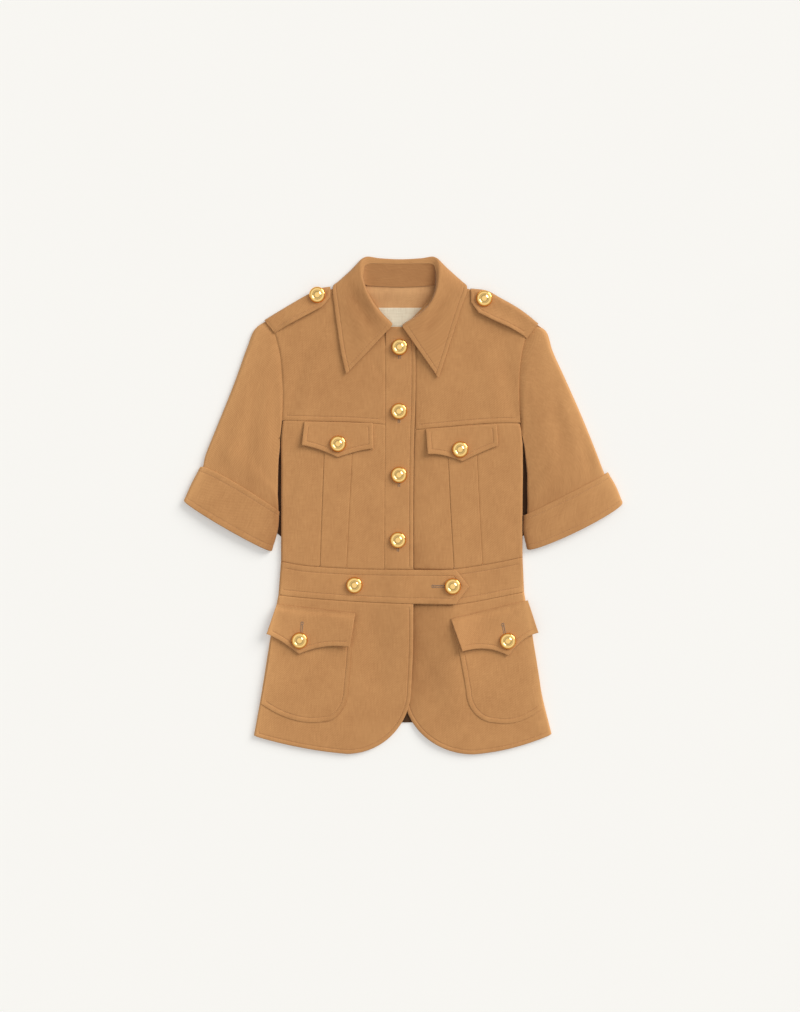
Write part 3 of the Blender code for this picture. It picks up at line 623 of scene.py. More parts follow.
    def shape(self) -> Shape:
        """The panel's outer face.

        Returns:
            Its shape, with a topstitch line for each stitched edge.
        """
        rings, spans = self.rings()
        count, places = rings.shape[:2]
        faces = quads(count, places, ring=True)
        inner = rings[-1, :, :2]
        spots = self.lattice(inner)
        plan = [Vector(spot) for spot in np.concatenate([inner, spots])]
        result = delaunay_2d_cdt(plan, [], [list(range(places))], 1, 1e-5)
        origin = [sources[0] if sources else -1 for sources in result[3]]
        first = (count - 1) * places
        for face in result[2]:
            corners = [origin[corner] for corner in face]
            if min(corners) >= 0:
                faces.append(tuple(first + corner for corner in corners))
        middle = np.column_stack([spots, self.top(spots[:, 0], spots[:, 1])])
        points = np.concatenate([rings.reshape(-1, 3), middle])
        lines = []
        stitched = len(ROUNDING[Ending.FOLDED]) + self.beside_stitch.index(0.0)
        for start, length, stitch in spans:
            if stitch:
                lines.append(rings[stitched, np.arange(start, start + length + 1) % places])
        turn = math.radians(self.turn)
        ahead, aside = (math.cos(turn), math.sin(turn)), (-math.sin(turn), math.cos(turn))
        grain = points[:, :2] @ np.array((ahead, aside))
        wrap = 2.0 * LIE.body if any(edge.ending in ROLLS for edge in self.edges) else 1.0
        width, length = grain.max(axis=0) - grain.min(axis=0) + wrap
        return Shape(points, faces, grain, (width, length), lines)


@dataclass
class Loft:
    """Cloth through a grid of points, such as a tube or a rolled collar."""

    face: Points
    ring: bool = False
    turned_in: float = 4.0

    def shape(self, lines: Sequence[Points] = ()) -> Shape:
        """The loft's outer face.

        Args:
            lines: topstitch lines on it.

        Returns:
            Its shape, with the grain along its rows and columns.
        """
        rows, columns = self.face.shape[:2]
        faces = [(a, d, c, b) for a, b, c, d in quads(rows, columns, self.ring)]
        down = np.linalg.norm(np.diff(self.face, axis=0), axis=2)
        across = np.linalg.norm(np.diff(self.face, axis=1), axis=2)
        down = np.concatenate([np.zeros((1, columns)), np.cumsum(down, axis=0)])
        across = np.concatenate([np.zeros((rows, 1)), np.cumsum(across, axis=1)], axis=1)
        grain = np.stack([across, down], axis=2).reshape(-1, 2)
        flat = (float(across[:, -1].max()) + self.turned_in, float(down[-1].max()) + self.turned_in)
        return Shape(self.face.reshape(-1, 3), faces, grain, flat, list(lines))

    def normals(self) -> Points:
        """Outward direction at each point of the grid.

        Returns:
            Vectors of length 1, by row and column.
        """
        if self.ring:
            wide = np.roll(self.face, -1, axis=1) - np.roll(self.face, 1, axis=1)
        else:
            wide = np.gradient(self.face, axis=1)
        tall = np.gradient(self.face, axis=0)
        normal = np.cross(tall, wide)
        return normal / np.maximum(np.linalg.norm(normal, axis=2), 1e-9)[..., None]


def joined(shapes: Sequence[Shape]) -> Shape:
    """Several outer faces as one shape.

    Args:
        shapes: the faces, the first of which gives the plan size.

    Returns:
        One shape with all points, faces and lines.
    """
    faces = []
    offset = 0
    for shape in shapes:
        faces.extend(tuple(corner + offset for corner in face) for face in shape.faces)
        offset += len(shape.points)
    return Shape(
        np.concatenate([shape.points for shape in shapes]),
        faces,
        np.concatenate([shape.grain for shape in shapes]),
        (sum(shape.flat[0] for shape in shapes), shapes[0].flat[1]),
        [line for shape in shapes for line in shape.lines],
    )


def graded(lengths: Points, first: Sequence[float], last: Sequence[float], middle: int) -> Points:
    """Shares of the way along lines that are close together near both ends.

    Args:
        lengths: length of each line.
        first: distances from the start that are kept.
        last: distances from the end that are kept.
        middle: number of even steps between them.

    Returns:
        Shares from 0 to 1, by line and place.
    """
    lengths = np.asarray(lengths, float)[..., None]
    near = np.asarray(first, float) / lengths
    far = 1.0 - np.asarray(last, float)[::-1] / lengths
    share = np.linspace(0.0, 1.0, middle + 1)[1:-1]
    between = near[..., -1:] + (far[..., :1] - near[..., -1:]) * share
    return np.concatenate([near, between, far], axis=-1)


@dataclass(frozen=True)
class TurnedEdge:
    """Folded edge of a loft, with a row of topstitch sunk into the padding beside it."""

    stitch: float
    near: tuple[float, ...] = (0.0, 0.12, 0.35, 0.8, 1.5, 2.6)
    beside: tuple[float, ...] = (-1.3, -0.65, -0.3, 0.0, 0.3, 0.65, 1.4, 3.0)
    drop: float = 0.8
    rounding: float = 0.9
    sharpness: float = 2.2
    groove: float = 0.45
    groove_width: float = 0.5
    puff: float = 0.3

    def stations(self) -> tuple[float, ...]:
        """Distances from the edge that carry its rounding and its groove."""
        return (*self.near, *(self.stitch + gap for gap in self.beside))

    def stitched(self) -> int:
        """Place of the topstitch among the stations."""
        return len(self.near) + self.beside.index(0.0)

    def relief(self, away: Points) -> Points:
        """Height of the edge against the cloth around it.

        Args:
            away: distances from the edge.

        Returns:
            Heights in the same shape.
        """
        rounding = -self.drop * np.clip(1.0 - away / self.rounding, 0.0, 1.0) ** self.sharpness
        dent = -self.groove * np.exp(-(((away - self.stitch) / self.groove_width) ** 2))
        return rounding + dent + self.puff * np.sin(math.pi * np.clip(away / self.stitch, 0.0, 1.0))


EDGE = TurnedEdge(MIDDLE)
Value = Union["Socket", float]


class Socket:
    """An output of a shader node that takes part in sums."""

    def __init__(self, shader: "Shader", output: bpy.types.NodeSocket) -> None:
        """Wrap an output of one of a shader's nodes."""
        self.shader = shader
        self.output = output

    def maths(self, operation: str, first: Value, second: Value = 0.0) -> "Socket":
        """Math node on two values."""
        return self.shader.node("ShaderNodeMath", {"operation": operation}, {0: first, 1: second})

    def __add__(self, other: Value) -> "Socket":
        """This value and another."""
        return self.maths("ADD", self, other)

    def __sub__(self, other: Value) -> "Socket":
        """This value less another."""
        return self.maths("SUBTRACT", self, other)

    def __rsub__(self, other: Value) -> "Socket":
        """Another value less this."""
        return self.maths("SUBTRACT", other, self)

    def __mul__(self, other: Value) -> "Socket":
        """This value times another."""
        return self.maths("MULTIPLY", self, other)

    __radd__ = __add__
    __rmul__ = __mul__

    def sine(self) -> "Socket":
        """Sine of this value."""
        return self.maths("SINE", self)


class Shader:
    """Shader nodes of a material or of the sky, around the node that they feed."""

    def __init__(self, owner: Union[bpy.types.Material, bpy.types.World], surface: str) -> None:
        """Start from the nodes that a new material or world has.

        Args:
            owner: the new material or world.
            surface: name of its shader node.
        """
        owner.use_nodes = True
        self.owner = owner
        self.tree = owner.node_tree
        self.surface = self.tree.nodes[surface]

    @classmethod
    def named(cls, name: str) -> "Shader":
        """Nodes of a new material around its Principled shader."""
        return cls(bpy.data.materials.new(name), "Principled BSDF")

    def put(self, socket: bpy.types.NodeSocket, value: object) -> None:
        """Set an input to a value, or link it to a socket.

        Args:
            socket: the input.
            value: a number, a colour, a vector or a wrapped output.
        """
        if isinstance(value, Socket):
            self.tree.links.new(value.output, socket)
        else:
            socket.default_value = value

    def node(self, kind: str, settings: dict, inputs: dict, output: Union[int, str] = 0) -> Socket:
        """Add a node.

        Args:
            kind: the node's type.
            settings: properties that are set first.
            inputs: values or links, by the input's name or place.
            output: name or place of the output to wrap.

        Returns:
            The wrapped output.
        """
        made = self.tree.nodes.new(kind)
        for key, value in settings.items():
            setattr(made, key, value)
        for key, value in inputs.items():
            self.put(made.inputs[key], value)
        return Socket(self, made.outputs[output])

    def blend(self, share: Value, first: object, second: object) -> Socket:
        """Mix of two colours."""
        settings = {"data_type": "RGBA", "clamp_factor": True}
        return self.node("ShaderNodeMix", settings, {0: share, 6: first, 7: second}, 2)

    def noise(self, where: Socket, stretch: tuple[float, float, float], detail: float = 2.0) -> Socket:
        """Noise stretched along its axes.

        Args:
            where: coordinates in metres.
            stretch: repeats to the metre along each axis.
            detail: octaves of noise.

        Returns:
            Values about one half.
        """
        placed = self.node("ShaderNodeMapping", {}, {"Vector": where, "Scale": stretch})
        return self.node("ShaderNodeTexNoise", {}, {"Vector": placed, "Scale": 1.0, "Detail": detail})

    def finish(self, inputs: dict) -> Union[bpy.types.Material, bpy.types.World]:
        """Set the shader node's inputs and give the material or world.

        Args:
            inputs: values or links, by the input's name.

        Returns:
            The finished material or world.
        """
        for key, value in inputs.items():
            self.put(self.surface.inputs[key], value)
        return self.owner


def opaque(colour: Colour, shade: float | Colour = 1.0) -> tuple[float, ...]:
    """A colour made lighter, darker or tinted, with its alpha."""
    return (*np.multiply(colour, shade), 1.0)


@dataclass(frozen=True)
class TwillCloth:
    """Matt twill: fine diagonal ribs, slubs along both threads and a faint mottle, with painted light and
    painted shade from a point attribute.
    """

    name: str
    slot: str
    colour: Colour
    rib: float = 0.0021
    slant: float = 58.0
    # Tints at the dark and bright ends of the blend: they spread the weave's own tone, and also give the
    # painted shade its darker, redder colour and the painted light its paler one
    kept: Colour = (0.74, 0.67, 0.62)
    bright_and_painted_light_tint: Colour = (1.26, 1.33, 1.38)
    slub: Pair = (60.0, 1500.0)
    mottle: Pair = (32.0, 26.0)
    streak: Pair = (430.0, 75.0)
    wander: float = 3.0
    tint: Colour = (1.0, 0.86, 0.7)
    ribbed: float = 0.07
    slubbed: float = 1.1
    mottled: float = 0.4
    streaked: float = 0.35
    # How far the painted light and shade attribute moves the colour toward either tint
    painted_tone: float = 0.4
    roughness: float = 0.78
    sheen: float = 0.3
    relief: float = 0.00016

    def material(self) -> bpy.types.Material:
        """The finish as a material that follows the grain of each piece.

        Returns:
            The new material.
        """
        shader = Shader.named(self.name)
        where = shader.node("ShaderNodeUVMap", {"uv_map": GRAIN}, {})
        across = shader.node("ShaderNodeSeparateXYZ", {}, {"Vector": where}, "X")
        down = shader.node("ShaderNodeSeparateXYZ", {}, {"Vector": where}, "Y")
        warp = shader.noise(where, (*self.slub[::-1], 1.0))
        weft = shader.noise(where, (*self.slub, 1.0))
        mottle = shader.noise(where, (*self.mottle, 1.0), 3.0)
        streak = shader.noise(where, (*self.streak, 1.0))
        turn = math.radians(self.slant)
        pitch = 2.0 * math.pi / self.rib
        phase = across * (math.cos(turn) * pitch) + down * (math.sin(turn) * pitch)
        ribs = (phase + (mottle - 0.5) * self.wander).sine()
        threads = (warp + weft) * 0.5
        # Painted light and painted shade: the attribute pales the cloth near outer folds and darkens it
        # beside shaded lines
        rub = shader.node("ShaderNodeAttribute", {"attribute_name": PAINTED_LIGHT_SHADE}, {}, "Fac")
        weave = ribs * self.ribbed + (threads - 0.5) * self.slubbed
        uneven = weave + (mottle - 0.5) * self.mottled + (streak - 0.5) * self.streaked
        shade = uneven + rub * self.painted_tone + 0.5
        colour = shader.blend(shade, opaque(self.colour, self.kept), opaque(self.colour, self.bright_and_painted_light_tint))
        height = ribs * 0.5 + (threads - 0.5) * 1.6
        bump = shader.node(
            "ShaderNodeBump", {}, {"Strength": 0.5, "Distance": self.relief, "Height": height}, "Normal")
        return shader.finish({
            "Base Color": colour,
            "Roughness": self.roughness + (threads - 0.5) * 0.2,
            "Normal": bump,
            "Sheen Weight": self.sheen,
            "Sheen Roughness": 0.45,
            "Sheen Tint": opaque(self.tint),
            "Specular IOR Level": 0.22,
        })


@dataclass(frozen=True)
class PolishedGold:
    """Polished gold plate with faint handling marks and a painted reflection: deeper amber at the rim, where
    the attribute is low.
    """

    name: str
    slot: str
    colour: Colour
    # Amber of the painted reflection of the cloth at the rim
    deep: Colour
    roughness: float = 0.13

    def material(self) -> bpy.types.Material:
        """The finish as a material.

        Returns:
            The new material.
        """
        shader = Shader.named(self.name)
        where = shader.node("ShaderNodeTexCoord", {}, {}, "Object")
        marks = shader.noise(where, (900.0, 900.0, 900.0), 4.0)
        tone = shader.noise(where, (120.0, 120.0, 120.0))
        # Painted reflection: the attribute mixes in the deeper amber at the rim, standing for the tan cloth
        # reflected there
        rub = shader.node("ShaderNodeAttribute", {"attribute_name": PAINTED_LIGHT_SHADE}, {}, "Fac")
        colour = shader.blend(rub + (tone - 0.5) * 0.4, opaque(self.deep), opaque(self.colour))
        bump = shader.node(
            "ShaderNodeBump", {}, {"Strength": 0.08, "Distance": 0.0002, "Height": marks}, "Normal")
        return shader.finish({
            "Base Color": colour,
            "Roughness": self.roughness + (marks - 0.5) * 0.12,
            "Metallic": 1.0,
            "Normal": bump,
        })


@dataclass(frozen=True)
class Thread:
    """Twisted sewing thread."""

    name: str
    slot: str
    colour: Colour
    roughness: float = 0.6

    def material(self) -> bpy.types.Material:
        """The finish as a material.

        Returns:
            The new material.
        """
        shader = Shader.named(self.name)
        where = shader.node("ShaderNodeTexCoord", {}, {}, "Object")
        twist = shader.noise(where, (2500.0, 2500.0, 2500.0))
        colour = shader.blend(twist, opaque(self.colour, 0.8), opaque(self.colour, 1.15))
        return shader.finish({
            "Base Color": colour,
            "Roughness": self.roughness + (twist - 0.5) * 0.2,
            "Sheen Weight": 0.2,
            "Specular IOR Level": 0.3,
        })


@dataclass(frozen=True)
class PaleFloor:
    """Smooth off-white surface with a trace of unevenness, lit a little from below."""

    name: str
    colour: Colour
    roughness: float = 0.7
    glow: float = 0.25

    def material(self) -> bpy.types.Material:
        """The finish as a material.

        Returns:
            The new material.
        """
        shader = Shader.named(self.name)
        where = shader.node("ShaderNodeTexCoord", {}, {}, "Object")
        cloud = shader.noise(where, (3.0, 3.0, 3.0), 3.0)
        lit = 1.0 - self.glow
        colour = shader.blend(cloud, opaque(self.colour, 0.992 * lit), opaque(self.colour, 1.006 * lit))
        return shader.finish({
            "Base Color": colour,
            "Roughness": self.roughness,
            "Specular IOR Level": 0.1,
            "Emission Color": opaque(self.colour),
            "Emission Strength": self.glow,
        })


Finish = Union[TwillCloth, PolishedGold, Thread]


@dataclass
class Wardrobe:
    """The finishes of the jacket, each made once."""

    tan: TwillCloth = TwillCloth("tan_twill", "tan_cloth", (0.498, 0.2435, 0.091))
    # Painted shade: near-black cloth for the back's upper face, standing for the deep shade in the slots
    # beside the sleeves and in the notch at the hem
    inside: TwillCloth = TwillCloth("near_black_painted_shade_twill", "tan_cloth", (0.062, 0.027, 0.009), sheen=0.0)
    # Painted shade: the stand's cloth is darker than the tan, for the shade inside the collar's roll
    stand: TwillCloth = TwillCloth("stand_painted_shade_twill", "stand_cloth", (0.405, 0.188, 0.068))
    facing: TwillCloth = TwillCloth("facing_weave", "facing_cloth", (0.570, 0.303, 0.130))
    label: TwillCloth = TwillCloth("label_satin", "label_cloth", (0.700, 0.610, 0.460), slant=90.0, sheen=0.2)
    # Gold, with a deeper amber for the painted reflection of the cloth at the button rims
    gold: PolishedGold = PolishedGold("polished_gold", "gold_metal", (1.0, 0.66, 0.24), (1.0, 0.46, 0.07))
    thread: Thread = Thread("tan_thread", "tan_cloth", (0.500, 0.258, 0.110))
    hole_thread: Thread = Thread("buttonhole_thread", "tan_cloth", (0.330, 0.215, 0.140))
    # Outer folds of the body, and the reaches of the painted light that pales the cloth near them
    body_folds: Points = field(default_factory=lambda: np.zeros((1, 2)))
    painted_light_reach: Pair = (15.0, 2.0)
    made: dict[str, bpy.types.Material] = field(default_factory=dict)

    def painted_light_and_shade(self, points: Points, folds: Points, deep: Sequence[PaintedLightLine]) -> Points:
        """Painted light and painted shade at each point of a piece.

        Args:
            points: points of a piece.
            folds: points of the outer folds near which painted light pales it.
            deep: lines beside which painted shade darkens it.

        Returns:
            Above zero for painted light at the outer folds and below zero for painted shade beside the deep
            lines, fading away from both.
        """
        painted_tone = np.zeros(len(points))
        painted_light_folds = [PaintedLightLine(folds, -1.0, reach) for reach in self.painted_light_reach]
        for mark in (*painted_light_folds, *deep):
            gaps = np.hypot(*(points[:, None, axis] - mark.line[None, :, axis] for axis in (0, 1)))
            painted_tone -= mark.weight * np.exp(-gaps.min(axis=1) / mark.reach)
        return painted_tone

    def dress(self, piece: Piece, finish: Finish, backing: Optional[Finish] = None) -> None:
        """Give a piece its finish.

        Args:
            piece: the mesh object.
            finish: the finish that it takes.
            backing: finish of a second material, if there is one.
        """
        for one in filter(None, (finish, backing)):
            if one.name not in self.made:
                self.made[one.name] = one.material()
            piece.data.materials.append(self.made[one.name])
        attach(piece, "root")
        LOG.info("%s: %d faces, %s", piece.name, len(piece.data.polygons), finish.name)


WARDROBE = Wardrobe()


def only(piece: Piece) -> None:
    """Make a piece the only selected and the active object.

    Args:
        piece: the object.
    """
    bpy.ops.object.select_all(action="DESELECT")
    piece.select_set(True)
    bpy.context.view_layer.objects.active = piece


def linked(name: str, points: Points, faces: Faces) -> Piece:
    """A mesh object from points in millimetres.

    Args:
        name: name of the object and its mesh.
        points: points by row.
        faces: corner places of each face.

    Returns:
        The object, at the origin.
    """
    mesh = bpy.data.meshes.new(name)
    mesh.from_pydata((points * MM).tolist(), [], faces)
    piece = bpy.data.objects.new(name, mesh)
    bpy.context.scene.collection.objects.link(piece)
    return piece


@dataclass
class Stitches:
    """Rows of thread along lines on the cloth, joined into one mesh for each assembly."""

    name: str
    pitch: float = 3.3
    gap: float = 0.75
    radius: float = 0.27
    sides: int = 6
    sink: float = 0.06
    lines: list[Points] = field(default_factory=list)
    body: tuple[tuple[float, float, float], ...] = (
        (-0.5, 0.35, -0.9), (-0.42, 0.85, -0.3), (-0.15, 1.0, 0.12), (0.15, 1.0, 0.12), (0.42, 0.85, -0.3),
        (0.5, 0.35, -0.9),
    )

    def runs(self) -> tuple[Points, Points]:
        """Places of all stitches, which divide each line evenly.

        Returns:
            Their starts and their ends.
        """
        rows = []
        for line in self.lines:
            length = along(line)[-1]
            count = max(1, round(length / self.pitch))
            rows.append(sampled(line, np.linspace(0.0, length, count + 1)))
        return np.concatenate([row[:-1] for row in rows]), np.concatenate([row[1:] for row in rows])

    def sew(self, finish: Thread) -> None:
        """Make all stitches as one piece.

        Args:
            finish: the thread.
        """
        starts, ends = self.runs()
        reach = ends - starts
        length = np.linalg.norm(reach, axis=1)
        forward = reach / length[:, None]
        aside = np.cross((0.0, 0.0, 1.0), forward)
        aside /= np.linalg.norm(aside, axis=1)[:, None]
        upward = np.cross(forward, aside)
        middle = (starts + ends) / 2 + upward * self.sink
        turns = np.linspace(0.0, 2.0 * math.pi, self.sides, endpoint=False)
        points = []
        for share, thick, rise in self.body:
            centre = middle + forward * (share * (length - self.gap))[:, None] + upward * (rise * self.radius)
            for turn in turns:
                swing = aside * math.cos(turn) + upward * math.sin(turn)
                points.append(centre + swing * (thick * self.radius))
        cloud = np.stack(points, axis=1)
        per = cloud.shape[1]
        shell = quads(len(self.body), self.sides, ring=True)
        shell += [tuple(reversed(range(self.sides))), tuple(range(per - self.sides, per))]
        faces = [
            tuple(first + corner for corner in face)
            for first in range(0, per * len(starts), per)
            for face in shell]
        piece = linked(self.name, cloud.reshape(-1, 3), faces)
        only(piece)
        bpy.ops.object.shade_smooth()
        WARDROBE.dress(piece, finish)


@dataclass
class Assembly:
    """A part of the jacket that is sewn from several pieces."""

    title: str
    seams: list[Points] = field(default_factory=list, init=False)

    def outer_fold(self) -> Points:
        """Folds near which painted light pales the cloth of this assembly."""
        return WARDROBE.body_folds

    def cloth(
        self, node: str, shape: Shape, wall: float, finish: TwillCloth, rests_on: Sequence[str],
        backing: Optional[TwillCloth] = None, deep: Sequence[PaintedLightLine] = (),
    ) -> None:
        """Make a piece of cloth in the place of its solid.

        Args:
            node: the solid that it stands for.
            shape: its outer face.
            wall: its thickness, which goes inward.
            finish: its finish.
            rests_on: names of the solids under it; not used.
            backing: finish of its other face, if that differs.
            deep: lines beside which painted shade darkens it.
        """
        piece = linked(node + "_cloth", shape.points, shape.faces)
        layer = piece.data.uv_layers.new(name=GRAIN)
        corners = np.zeros(len(piece.data.loops), np.int32)
        piece.data.loops.foreach_get("vertex_index", corners)
        layer.data.foreach_set("uv", (shape.grain[corners] * MM).astype(np.float32).ravel())
        # Painted light near the assembly's outer folds and painted shade beside the given lines, kept on the
        # points for the material
        rub = piece.data.attributes.new(PAINTED_LIGHT_SHADE, "FLOAT", "POINT")
        painted_tone = WARDROBE.painted_light_and_shade(shape.points, self.outer_fold(), deep)
        rub.data.foreach_set("value", painted_tone.astype(np.float32))
        area = sum(polygon.area for polygon in piece.data.polygons)
        WARDROBE.dress(piece, finish, backing)
        only(piece)
        thick = piece.modifiers.new("wall", "SOLIDIFY")
        thick.thickness = wall * MM
        thick.offset = -1.0
        thick.use_even_offset = False
        thick.use_rim = True
        thick.material_offset = 1
        thick.material_offset_rim = 1
        bpy.ops.object.modifier_apply(modifier=thick.name)
        for vertex in piece.data.vertices:
            vertex.co.z = max(vertex.co.z, 0.0)
        bpy.ops.object.shade_smooth_by_angle(angle=math.radians(SMOOTH_BELOW))
        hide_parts(node)
        width, length = (size * MM for size in shape.flat)
        length = max(length, area / width)
        self.seams.extend(shape.lines)

    def topstitch(self) -> None:
        """Sew the topstitching of all pieces made so far."""
        if self.seams:
            Stitches("topstitch_" + self.title, lines=self.seams).sew(WARDROBE.thread)


def armhole_line(arm: Armhole, first: float, last: float) -> Points:
    """Points of an armhole between two shares of its length.

    Args:
        arm: the armhole.
        first: share of the way from the shoulder where the line starts.
        last: share where it ends.

    Returns:
        Plan points.
    """
    share = np.linspace(first, last, FINE)
    reach = np.array(arm.underarm) - np.array(arm.shoulder)
    across = np.array((-reach[1], reach[0])) / np.linalg.norm(reach)
    out = arm.bow * np.sqrt(share) * (1.0 - share)
    return np.array(arm.shoulder) + np.outer(share, reach) + np.outer(out, across)


def rounded_front(sections: Sections, low: Round) -> tuple[Points, Points, Points]:
    """Outline of a panel with a rounded lower front corner.

    Args:
        sections: lines across the panel above the corner.
        low: the corner.

    Returns:
        The front edge down and round, the hem to the side, and the side from its low end up.
    """
    turn = np.linspace(0.0, math.pi / 2, FINE)[1:]
    arc = np.column_stack([
        low.centre.x + low.radii.x * np.cos(turn),
        low.centre.y - low.radii.y * np.sin(turn),
    ])
    edge = curve([(row.edge_x, row.edge_y) for row in sections])
    hem = straight(arc[-1], low.side_end, FINE)
    share = np.linspace(0.0, 1.0, FINE)
    hem[:, 1] -= low.sag * 4.0 * share * (1.0 - share)
    side = curve([(row.side_x, row.side_y) for row in sections] + [low.side_end])
    return np.concatenate([edge, arc]), hem, side[::-1]


@dataclass
class FrontHalf(Assembly):
    """One half of the front: yoke, pleated front, skirt, hip pocket and two flaps."""

    wearer: Wearer
    top: Height
    arm: Armhole
    arm_end: float
    shoulder: Outline
    neck_edge: Outline
    closing: tuple[Ending, float]
    yoke_seam: Outline
    waist_top: Outline
    waist_low: Outline
    front: Sections
    pleat: tuple[PleatLine, PleatLine]
    skirt: Sections
    hem: Round
    pocket: Sections
    pocket_low: Round
    chest_flap: FlapCut
    hip_flap: FlapCut
    arm_seam: tuple[Ending, float]
    # Painted shade beside lines on the yoke, the front and the skirt, and along the pocket's front edge and
    # the hip flap's head
    yoke_painted_shade: tuple[PaintedLightLine, ...]
    front_painted_shade: tuple[PaintedLightLine, ...] = ()
    skirt_painted_shade: tuple[PaintedLightLine, ...] = ()
    pocket_painted_shade: float = 0.0
    arm_start: float = 0.022
    seam_sunk: float = 1.0
    pleat_sunk: float = 0.8
    pocket_rise: float = 1.0
    pocket_lean: float = 6.0
    pocket_under: Pair = (0.06, 0.2)
    flap_painted_shade: float = 1.2
    painted_shade_reach: float = 1.2
    wall: float = 1.5
    front_wall: float = 1.3
    pocket_wall: float = 0.9
    flap_wall: float = 1.2

    def build(self) -> None:
        """Make and sew all pieces of this half."""
        side = self.wearer.name.lower()
        # Painted shade in thin dark lines on the pocket along its front edge and on the hip flap along its
        # head
        beside = PaintedLightLine(rounded_front(self.pocket, self.pocket_low)[0], self.pocket_painted_shade, self.painted_shade_reach)
        head = straight(self.hip_flap.top_a, self.hip_flap.top_b, FINE)
        above = PaintedLightLine(head, self.flap_painted_shade, self.painted_shade_reach)
        for node, shape, wall, under, deep in (
            ("yoke_", self.yoke(), self.wall, "back_bodice", self.yoke_painted_shade),
            ("front_", self.pleated_front(), self.front_wall, "back_bodice", self.front_painted_shade),
            ("skirt_", self.skirt_front(), self.wall, "back_skirt", self.skirt_painted_shade),
            ("hip_pocket_", self.hip_pocket(), self.pocket_wall, "skirt_" + side, (beside,)),
            ("hip_flap_", self.flap(self.hip_flap), self.flap_wall, "hip_pocket_" + side, (above,)),
            ("chest_flap_", self.flap(self.chest_flap), self.flap_wall, "front_" + side, ()),
        ):
            self.cloth(node + side, shape, wall, WARDROBE.tan, [under], deep=deep)
        self.topstitch()

    def outer_fold(self) -> Points:
        """Side of the skirt, near which painted light pales the cloth."""
        return curve([(row.side_x, row.side_y) for row in self.skirt] + [self.hem.side_end])

    def yoke(self) -> Shape:
        """Upper front from the shoulder seam to the chest seam.

        Returns:
            Its outer face.
        """
        arm = armhole_line(self.arm, self.arm_start, self.arm_end)
        (closed, deep), (sewn, sunk) = self.closing, self.arm_seam
        return Panel([
            Edge(curve(self.shoulder), Ending.ROLLED),
            Edge(curve(self.neck_edge), Ending.TUCKED, reach=UNDER),
            Edge(straight(self.neck_edge[-1], self.yoke_seam[-1], FINE), closed, reach=deep),
            Edge(curve(self.yoke_seam)[::-1], Ending.FOLDED, MIDDLE, PRESSED),
            Edge(arm[::-1], sewn, reach=sunk),
        ], self.top).shape()

    def pleated_front(self) -> Shape:
        """Front below the chest seam, in three breadths of which the middle one is the box pleat.

        Returns:
            Its outer face.
        """
        lines = curve(self.front)
        side, edge = lines[:, 0:2], lines[:, 2:4]
        down = np.linspace(0.0, 1.0, len(lines))[:, None]
        outer, inner = (
            side + (edge - side) * (line.top + (line.low - line.top) * down) for line in self.pleat)
        seam, waist = curve(self.yoke_seam), curve(self.waist_top)
        for line in (outer, inner):
            line[0, 1] = level_at(seam, line[0, 0])
            line[-1, 1] = level_at(waist, line[-1, 0])

        def over(x: Points, y: Points) -> Points:
            """Outer face of the pleat."""
            return self.top(x, y) + LIE.pleat_height(level_at(seam, x) - y)

        def breadth(top: Height, first: Edge, last: Edge, sunk: float) -> Shape:
            """Cloth between two lines that run down from the chest seam to the band.

            Args:
                top: height of the cloth.
                first: edge nearer the side.
                last: edge nearer the front.
                sunk: how much deeper its low end is tucked.

            Returns:
                Its outer face.
            """
            a, b = first.line[:, 0], last.line[:, 0]
            return Panel([
                Edge(between(seam, a[0], b[0]), Ending.TUCKED, reach=self.seam_sunk),
                last,
                Edge(between(waist, b[-1], a[-1]), Ending.TUCKED, reach=UNDER + sunk),
                first._replace(line=first.line[::-1]),
            ], top).shape()

        return joined([
            breadth(self.top, Edge(side, Ending.ROLLED),
                    Edge(outer, Ending.TUCKED, reach=self.pleat_sunk), 0.0),
            breadth(over, Edge(outer, Ending.FOLDED, reach=PRESSED),
                    Edge(inner, Ending.FOLDED, reach=PRESSED), LIE.pleat),
            breadth(self.top, Edge(inner, Ending.TUCKED, reach=self.pleat_sunk),
                    Edge(edge, self.closing[0], reach=self.closing[1]), 0.0),
        ])

    def skirt_front(self) -> Shape:
        """Skirt from the band to its hem, cut away in a round at the front.

        Returns:
            Its outer face.
        """
        front, hem, side = rounded_front(self.skirt, self.hem)
        return Panel([
            Edge(curve(self.waist_low), Ending.TUCKED, reach=UNDER),
            Edge(front, Ending.FOLDED, NARROW),
            Edge(hem, Ending.FOLDED, NARROW),
            Edge(side, Ending.ROLLED),
        ], self.top).shape()

    def hip_pocket(self) -> Shape:
        """Patch pocket on the skirt, open under its flap.

        Returns:
            Its outer face.
        """
        front, low, side = rounded_front(self.pocket, self.pocket_low)

        def over(x: Points, y: Points) -> Points:
            """Outer face of the pocket, which is sewn down flat."""
            return self.top(x, y) + self.pocket_rise

        return Panel([
            Edge(straight(side[-1], front[0]), Ending.COVERED),
            Edge(front, Ending.FOLDED, MIDDLE, PRESSED),
            Edge(low, Ending.FOLDED, MIDDLE, PRESSED),
            Edge(side, Ending.FOLDED, reach=PRESSED),
        ], over, turn=-self.wearer.value * self.pocket_lean).shape()

